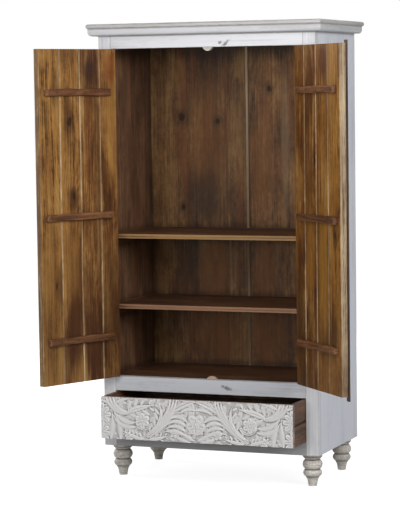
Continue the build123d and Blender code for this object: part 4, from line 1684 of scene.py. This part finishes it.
# ------------------------------------------------------------------ carcass
def painted_shadow_bands(x: float) -> tuple[Stain, ...]:
    """Painted shadows: dark bands under the top and round the shelves, where their shade falls.

    Args:
        x: middle of the bands, in millimetres.

    Returns:
        One band under the top and one at each shelf and at the floor.
    """
    # painted shadow: bands where the top rail and the shelves would shade the back and the sides
    painted_shade = "1b1511"
    return (Stain(Knot(x, 1836, 700, 88), painted_shade, 0.75), Stain(Knot(x, 1000, 700, 46), painted_shade, 0.6),
            Stain(Knot(x, 700, 700, 46), painted_shade, 0.6), Stain(Knot(x, 425, 700, 26), painted_shade, 0.5))


@dataclass
class Carcass:
    """The painted outside of the cabinet: face frame, sides, cornice, top and feet.

    Attributes:
        rail_cracks: cracked knots of the rails.
        cornice_foot, cornice_top: heights of the corners under and over the cornice, in millimetres.
    """

    rail_cracks: dict[str, tuple[Knot, ...]] = field(default_factory=lambda: {
        "top_rail": (Knot(92, 1812, 34, 11, 40), Knot(67, 1813, 14, 11, 0)),
        "mid_rail": (Knot(80, 397, 32, 13, -15), Knot(60, 404, 12, 11, 20)),
    })
    # heights of the seams that the paint darkens as painted shade, under and over the cornice
    cornice_foot: float = 1850.5
    cornice_top: float = 1881.0

    def build(self) -> None:
        """Dresses every painted node of the carcass."""
        for number, name in enumerate(("stile_left", "stile_right")):
            dress(name, MilkPaint(name, Lay.STANDING, 1.1 + number, patch=Patch.of(name), rub=0.5,
                                  seams=(self.cornice_foot,)).material())
        for number, name in enumerate(("side_panel_left", "side_panel_right")):
            self.dress_side(name, number)
        for number, name in enumerate(("top_rail", "mid_rail", "bottom_rail")):
            # painted shade: the mid rail's paint is a little darker and the bottom rail's much darker, the
            # bottom rail's for the drawer's shadow
            paint, thin = (("dedfe3", "b5b4b5"), ("cdcfd4", "a7a7a9"), ("acacad", "8a8885"))[number]
            finish = MilkPaint(name, Lay.RAIL, 5.1 + number, patch=Patch.of(name), joint=22.4, paint=paint,
                               thin=thin, cracks=self.rail_cracks.get(name, ()), seams=(self.cornice_foot,))
            dress(name, finish.material())
        for number, (name, lay) in enumerate((("cornice_front", Lay.RAIL), ("cornice_left", Lay.DEEP),
                                              ("cornice_right", Lay.DEEP))):
            dress(name, MilkPaint(name, lay, 8.3 + number, paint="cdced1", thin="a9a9aa", thinness=0.6,
                                  seams=(self.cornice_foot, self.cornice_top)).material())
        slab = MilkPaint("top_slab", Lay.SHELF, 12.0, paint="bebdbc", thin="9c958d", wood="86705f",
                         patch=Patch.of("top_slab"), rub_width=5.0, rub=0.6, thinness=0.8)
        dress("top_slab", slab.material())
        for name in ("foot_front_left", "foot_front_right", "foot_rear_left", "foot_rear_right"):
            dress(name, TurnedPaint(name).material())

    def dress_side(self, name: str, number: int) -> None:
        """A side panel: painted outside and stained inside.

        Args:
            name: name of the panel's node.
            number: 0 for the left one and 1 for the right one.
        """
        patch = Patch.of(name)
        paint = MilkPaint(name, Lay.STANDING_DEEP, 3.1 + number, patch=patch, rub=0.4, thinness=0.6,
                          paint="e0e3ea", thin="c2c5cc", seams=(self.cornice_foot,))
        # the inner stain gets painted shadows under the top and round the shelves
        stain = StainedMango(name, Lay.STANDING_DEEP, patch.centre, seed=2.2 + number, pale="9c7757",
                             body="7c5a43", red="744731", dark="4a3426", board=163.0,
                             stains=painted_shadow_bands(patch.centre[0] / MM))
        face = abs(patch.centre[0]) - patch.half[0] + 1.5 * MM
        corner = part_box("back_panel_left")[0][1]
        dress(name, PaintedOutside(name, paint, stain, face, corner).material())


@dataclass
class Interior:
    """The stained inside: back, shelves, floors, cleats, runners, stops and hardware.

    Attributes:
        board: width of the boards that the back is glued up from, in millimetres.
        joints: X of the glue joint that the boards are counted from, in each half, in metres.
    """

    board: float = 192.0
    joints: tuple[float, float] = (-0.093, 0.115)

    def build(self) -> None:
        """Dresses every stained node of the carcass."""
        # glow: lighter orange patches, partly the wood's own colour and partly painted light on the middle
        # and low bays; shade: painted shade; ash: a pale grey streak
        glow, shade, ash = "7b5029", "33261c", "8c7558"
        knots = ((Knot(-306, 1507, 17, 22), Knot(-138, 1488, 13, 14), Knot(-302, 1114, 9, 14)),
                 (Knot(101, 1624, 13, 16),))
        stains = ((Stain(Knot(-190, 1400, 100, 260), glow, 0.4),
                   Stain(Knot(-200, 1160, 105, 120), shade, 0.6),
                   Stain(Knot(-159, 862, 70, 160), glow, 0.5), Stain(Knot(-290, 873, 60, 90), shade, 0.35),
                   Stain(Knot(-120, 560, 110, 130), glow, 0.45)),
                  (Stain(Knot(60, 1310, 60, 220), glow, 0.45), Stain(Knot(170, 1405, 18, 330), ash, 0.4),
                   Stain(Knot(70, 840, 60, 160), glow, 0.5), Stain(Knot(90, 560, 90, 130), glow, 0.45)))
        for number, name in enumerate(("back_panel_left", "back_panel_right")):
            # painted shadows under the top and round the shelves join the back's stains
            self.dress_back(name, number, knots[number], stains[number] + painted_shadow_bands(0.0))
        # the shelves' pale rubbed front edges stand for wear and for a painted highlight
        edges = {"shelf_upper": "a3804f", "shelf_lower": "9d7558", "cabinet_floor": "6a4a35",
                 "base_panel": "6a4a35", "back_battens": "6a4a35"}
        for number, (name, rubbed) in enumerate(edges.items()):
            patch = Patch.of(name)
            wood = StainedMango(name, Lay.SHELF, patch.centre, seed=30.1 + 2 * number, pale="7d583c",
                                body="5b3d29", red="523021", dark="38241a", patch=patch, rubbed=rubbed,
                                rub_width=13.0)
            dress(name, wood.material())
        for number, name in enumerate(("shelf_cleats", "drawer_spacer_left", "drawer_spacer_right",
                                       "drawer_runner_left", "drawer_runner_right", "corner_blocks")):
            wood = StainedMango(name, Lay.DEEP, Patch.of(name).centre, seed=40.7 + number, pale="7b5636",
                                body="573923", red="4b2d1d", dark="352116")
            dress(name, wood.material())
        stop = MilkPaint("door_stop_top", Lay.RAIL, 3.0, paint="d8d2c9", thin="b5a898", thinness=0.8)
        dress("door_stop_top", stop.material())
        bare = StainedMango("door_stop_bottom", Lay.RAIL, Patch.of("door_stop_bottom").centre, seed=3.3,
                            pale="dcc4ae", body="c4a68e", red="b08a72", dark="94745e")
        dress("door_stop_bottom", bare.material())
        for name in ("frame_hinge_leaves", "frame_hinge_screws", "hinge_pins", "carcass_screws",
                     "door_stop_screws", "foot_bolts"):
            dress(name, AgedSteel(name).material())

    def dress_back(self, name: str, number: int, knots: tuple[Knot, ...], stains: tuple[Stain, ...]) -> None:
        """Half of the back, glued up from boards of one width, with a chamfer at the middle joint.

        Args:
            name: name of the half's node.
            number: 0 for the left half and 1 for the right one.
            knots, stains: its knots and stains.
        """
        _, y, z = Patch.of(name).centre
        pale, body = (("83643f", "5f432c"), ("94724a", "6e4d32"))[number]
        wood = StainedMango(name, Lay.STANDING, (self.joints[number], y, z), seed=20.3 + 3 * number,
                            pale=pale, body=body, red="6c4024", dark="37281d", board=self.board,
                            contrast=1.2, straight=0.5, heart=0.3, knots=knots, stains=stains)
        dress(name, ChamferedJoint(name, wood).material())


# ------------------------------------------------------------------ studio
@dataclass(frozen=True)
class Lamp:
    """A square lamp that the camera doesn't see.

    Attributes:
        name: its name.
        place: where it stands, in metres.
        aim: the point that it faces, in metres.
        size: length of its sides, in metres.
        power: its power, in watts.
    """

    name: str
    place: Triple
    aim: Triple
    size: float
    power: float

    def build(self) -> None:
        """Puts the lamp in the scene."""
        data = bpy.data.lights.new(self.name, "AREA")
        data.size = self.size
        data.energy = self.power
        lamp = bpy.data.objects.new(self.name, data)
        lamp.location = self.place
        lamp.visible_camera = False
        lamp.rotation_euler = (Vector(self.aim) - Vector(self.place)).to_track_quat("-Z", "Y").to_euler()
        bpy.context.scene.collection.objects.link(lamp)


@dataclass
class Studio:
    """White floor, soft light and the camera.

    Attributes:
        eye: place of the camera, in metres.
        heading, dip, roll: turn of the camera to the left of +Y, below the horizon and about its
            own line of sight, in degrees.
        lens: focal length in millimetres on a 36 mm sensor.
        ambient: strength of the even light from all round.
        lamps: the key lamp high in front, and soft ones in front, on the right, behind, on the
            left and over the top.
        floor_half: half of the floor's side, in metres.
        floor_grey: share of the light that the floor gives back.
        floor_lift: how bright the floor under the cabinet glows for the camera, where 1 is white.
        floor_near, floor_far: distances from the cabinet's middle at which the glow starts to rise
            and has become white, in metres.
    """

    eye: Triple = (3.1706, -8.2843, 1.6330)
    heading: float = 21.761
    dip: float = 4.585
    roll: float = -0.772
    lens: float = 147.8
    ambient: float = 0.12
    lamps: tuple[Lamp, ...] = (
        Lamp("key_lamp", (0.6, -2.2, 2.1), (0.0, 0.0, 1.6), 1.1, 21.0),
        Lamp("fill_lamp", (-0.6, -4.4, 1.2), (0.0, 0.0, 0.95), 1.6, 50.0),
        Lamp("side_lamp", (4.6, -2.6, 2.7), (0.0, 0.0, 1.3), 3.0, 140.0),
        Lamp("back_lamp", (-1.5, 4.5, 2.2), (0.0, 0.0, 1.0), 3.0, 120.0),
        Lamp("left_lamp", (-4.6, 0.9, 2.2), (0.0, 0.0, 1.0), 2.4, 90.0),
        Lamp("over_lamp", (0.0, 1.6, 4.2), (0.0, 0.1, 1.9), 1.4, 34.0),
    )
    floor_half: float = 30.0
    floor_grey: float = 0.38
    floor_lift: float = 0.88
    floor_near: float = 0.7
    floor_far: float = 2.2

    def build(self) -> None:
        """Sets up the world, floor, lamps, camera and view transform."""
        self.build_world()
        self.build_floor()
        for lamp in self.lamps:
            lamp.build()
        self.build_camera()
        bpy.context.scene.view_settings.view_transform = "Standard"

    def background_share(self, tree: bpy.types.NodeTree) -> Socket:
        """Finds the rays that show the background.

        Args:
            tree: the node tree that asks.

        Returns:
            1 for camera, glossy and transmitted rays, and 0 for others.
        """
        path = add_node(tree, "ShaderNodeLightPath")
        total = path.outputs["Is Camera Ray"]
        for name in ("Is Glossy Ray", "Is Transmission Ray"):
            total = add_node(tree, "ShaderNodeMath", {0: total, 1: path.outputs[name]},
                             operation="MAXIMUM").outputs[0]
        return total

    def build_world(self) -> None:
        """An even light, seen as plain white."""
        world = bpy.data.worlds.new("studio_world")
        world.use_nodes = True
        tree = world.node_tree
        light = tree.nodes["Background"]
        light.inputs["Color"].default_value = linear("f4f6ff")
        light.inputs["Strength"].default_value = self.ambient
        white = add_node(tree, "ShaderNodeBackground", {"Color": (1, 1, 1, 1), "Strength": 1.0})
        mixed = add_node(tree, "ShaderNodeMixShader", {0: self.background_share(tree), 1: light.outputs[0],
                                                       2: white.outputs[0]})
        tree.links.new(mixed.outputs[0], tree.nodes["World Output"].inputs["Surface"])
        bpy.context.scene.world = world

    def build_floor(self) -> None:
        """A pale floor that keeps the object's soft shadow and is otherwise seen as white."""
        half = self.floor_half
        mesh = bpy.data.meshes.new("floor")
        mesh.from_pydata([(-half, -half, 0), (half, -half, 0), (half, half, 0), (-half, half, 0)], [],
                         [(0, 1, 2, 3)])
        floor = bpy.data.objects.new("floor", mesh)
        bpy.context.scene.collection.objects.link(floor)
        material = bpy.data.materials.new("white_floor")
        material.use_nodes = True
        tree = material.node_tree
        matt = add_node(tree, "ShaderNodeBsdfDiffuse", {"Color": (*[self.floor_grey] * 3, 1)})
        share = self.background_share(tree)
        place = add_node(tree, "ShaderNodeTexCoord").outputs["Object"]
        away = add_node(tree, "ShaderNodeVectorMath", {0: place}, operation="LENGTH").outputs["Value"]
        inputs = {0: away, 1: self.floor_near, 2: self.floor_far, 3: self.floor_lift, 4: 1.0}
        level = add_node(tree, "ShaderNodeMapRange", inputs, interpolation_type="SMOOTHSTEP").outputs[0]
        lift = add_node(tree, "ShaderNodeMath", {0: share, 1: level}, operation="MULTIPLY")
        glow = add_node(tree, "ShaderNodeEmission", {"Color": (1, 1, 1, 1), "Strength": lift.outputs[0]})
        both = add_node(tree, "ShaderNodeAddShader", {0: matt.outputs[0], 1: glow.outputs[0]})
        tree.links.new(both.outputs[0], tree.nodes["Material Output"].inputs["Surface"])
        mesh.materials.append(material)

    def build_camera(self) -> None:
        """The camera, turned by its heading, dip and roll."""
        data = bpy.data.cameras.new("camera")
        data.lens = self.lens
        data.clip_end = 100.0
        camera = bpy.data.objects.new("camera", data)
        level = Matrix.Rotation(math.radians(self.heading), 4, "Z")
        tilt = Matrix.Rotation(math.radians(90.0 - self.dip), 4, "X")
        spin = Matrix.Rotation(math.radians(self.roll), 4, "Z")
        camera.matrix_world = Matrix.Translation(self.eye) @ level @ tilt @ spin
        bpy.context.scene.collection.objects.link(camera)
        bpy.context.scene.camera = camera


# the doors also use DUSK and HEART for painted shade low on the boards
HEART, DUSK, PLUM = "41210f", "3a2110", "2f1a17"  # dark heartwood, by how red it is


def left_door() -> Door:
    """Describes the left door, with the knots and patches of its four boards.

    Returns:
        The door.
    """
    return Door("left", -1, ("83592e", "724b26", "8a6030", "906632"), "84643f",
                ((), (), (Knot(259, 1502, 13, 24, 12), Knot(240, 1200, 8, 18)), (Knot(341, 838, 5, 16, 8),)),
                # painted shade: the tall dark patches low on the first three boards, at 740, 590 and 670 mm,
                # darken them towards the bottom
                ((Stain(Knot(31, 1720, 34, 70), "74391a", 0.5), Stain(Knot(24, 1530, 40, 130), "9c7038", 0.6),
                  Stain(Knot(74, 1290, 26, 130, -8), HEART, 0.7),
                  Stain(Knot(38, 1360, 14, 100, -10), "a9803f", 0.6),
                  Stain(Knot(60, 1140, 24, 90, 25), DUSK, 0.6), Stain(Knot(50, 740, 52, 330), DUSK, 0.55)),
                 (Stain(Knot(150, 1706, 30, 60), PLUM, 0.85), Stain(Knot(150, 590, 66, 230), HEART, 0.85)),
                 (Stain(Knot(262, 1520, 26, 90), DUSK, 0.55), Stain(Knot(248, 670, 54, 250, 6), HEART, 0.9),
                  Stain(Knot(246, 1185, 30, 60), DUSK, 0.75), Stain(Knot(255, 940, 60, 180), "6a4722", 0.5)),
                 (Stain(Knot(330, 1640, 26, 90), DUSK, 0.45), Stain(Knot(332, 850, 20, 90), DUSK, 0.6),
                  Stain(Knot(364, 760, 60, 330), "6c4924", 0.5))))


def right_door() -> Door:
    """Describes the right door, with the knots and patches of its four boards.

    Returns:
        The door.
    """
    return Door("right", 1, ("70461a", "6b431b", "875824", "8a5d26"), "978369",
                ((), (Knot(188, 1345, 10, 22), Knot(194, 819, 11, 24)), (), (Knot(369, 1055, 8, 16),)),
                # painted shade: the tall dark patch low on the hinge board, at 640 mm, darkens it towards the
                # bottom
                ((Stain(Knot(50, 640, 50, 330), DUSK, 0.6), Stain(Knot(84, 985, 16, 60), PLUM, 0.7)),
                 (Stain(Knot(188, 1400, 16, 150), "401a10", 0.8),
                  Stain(Knot(186, 860, 20, 110), "401a10", 0.7),
                  Stain(Knot(106, 719, 16, 60), PLUM, 0.7), Stain(Knot(145, 960, 40, 180), "946428", 0.5)),
                 (Stain(Knot(264, 1730, 52, 90), "4a2412", 0.85),
                  Stain(Knot(214, 1300, 12, 150), "4a2012", 0.6),
                  Stain(Knot(262, 900, 42, 280), "a2742e", 0.5)),
                 (Stain(Knot(352, 660, 44, 90), DUSK, 0.75), Stain(Knot(366, 1050, 18, 60), DUSK, 0.6))))


def main() -> None:
    """Builds every sub-assembly in order."""
    logging.basicConfig(level=logging.INFO, format="%(name)s: %(message)s")
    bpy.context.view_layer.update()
    for part in (Carcass(), Interior(), left_door(), right_door(), Drawer(), Studio()):
        part.build()
        log.info("%s is built", type(part).__name__)


if __name__ == "__main__":
    main()
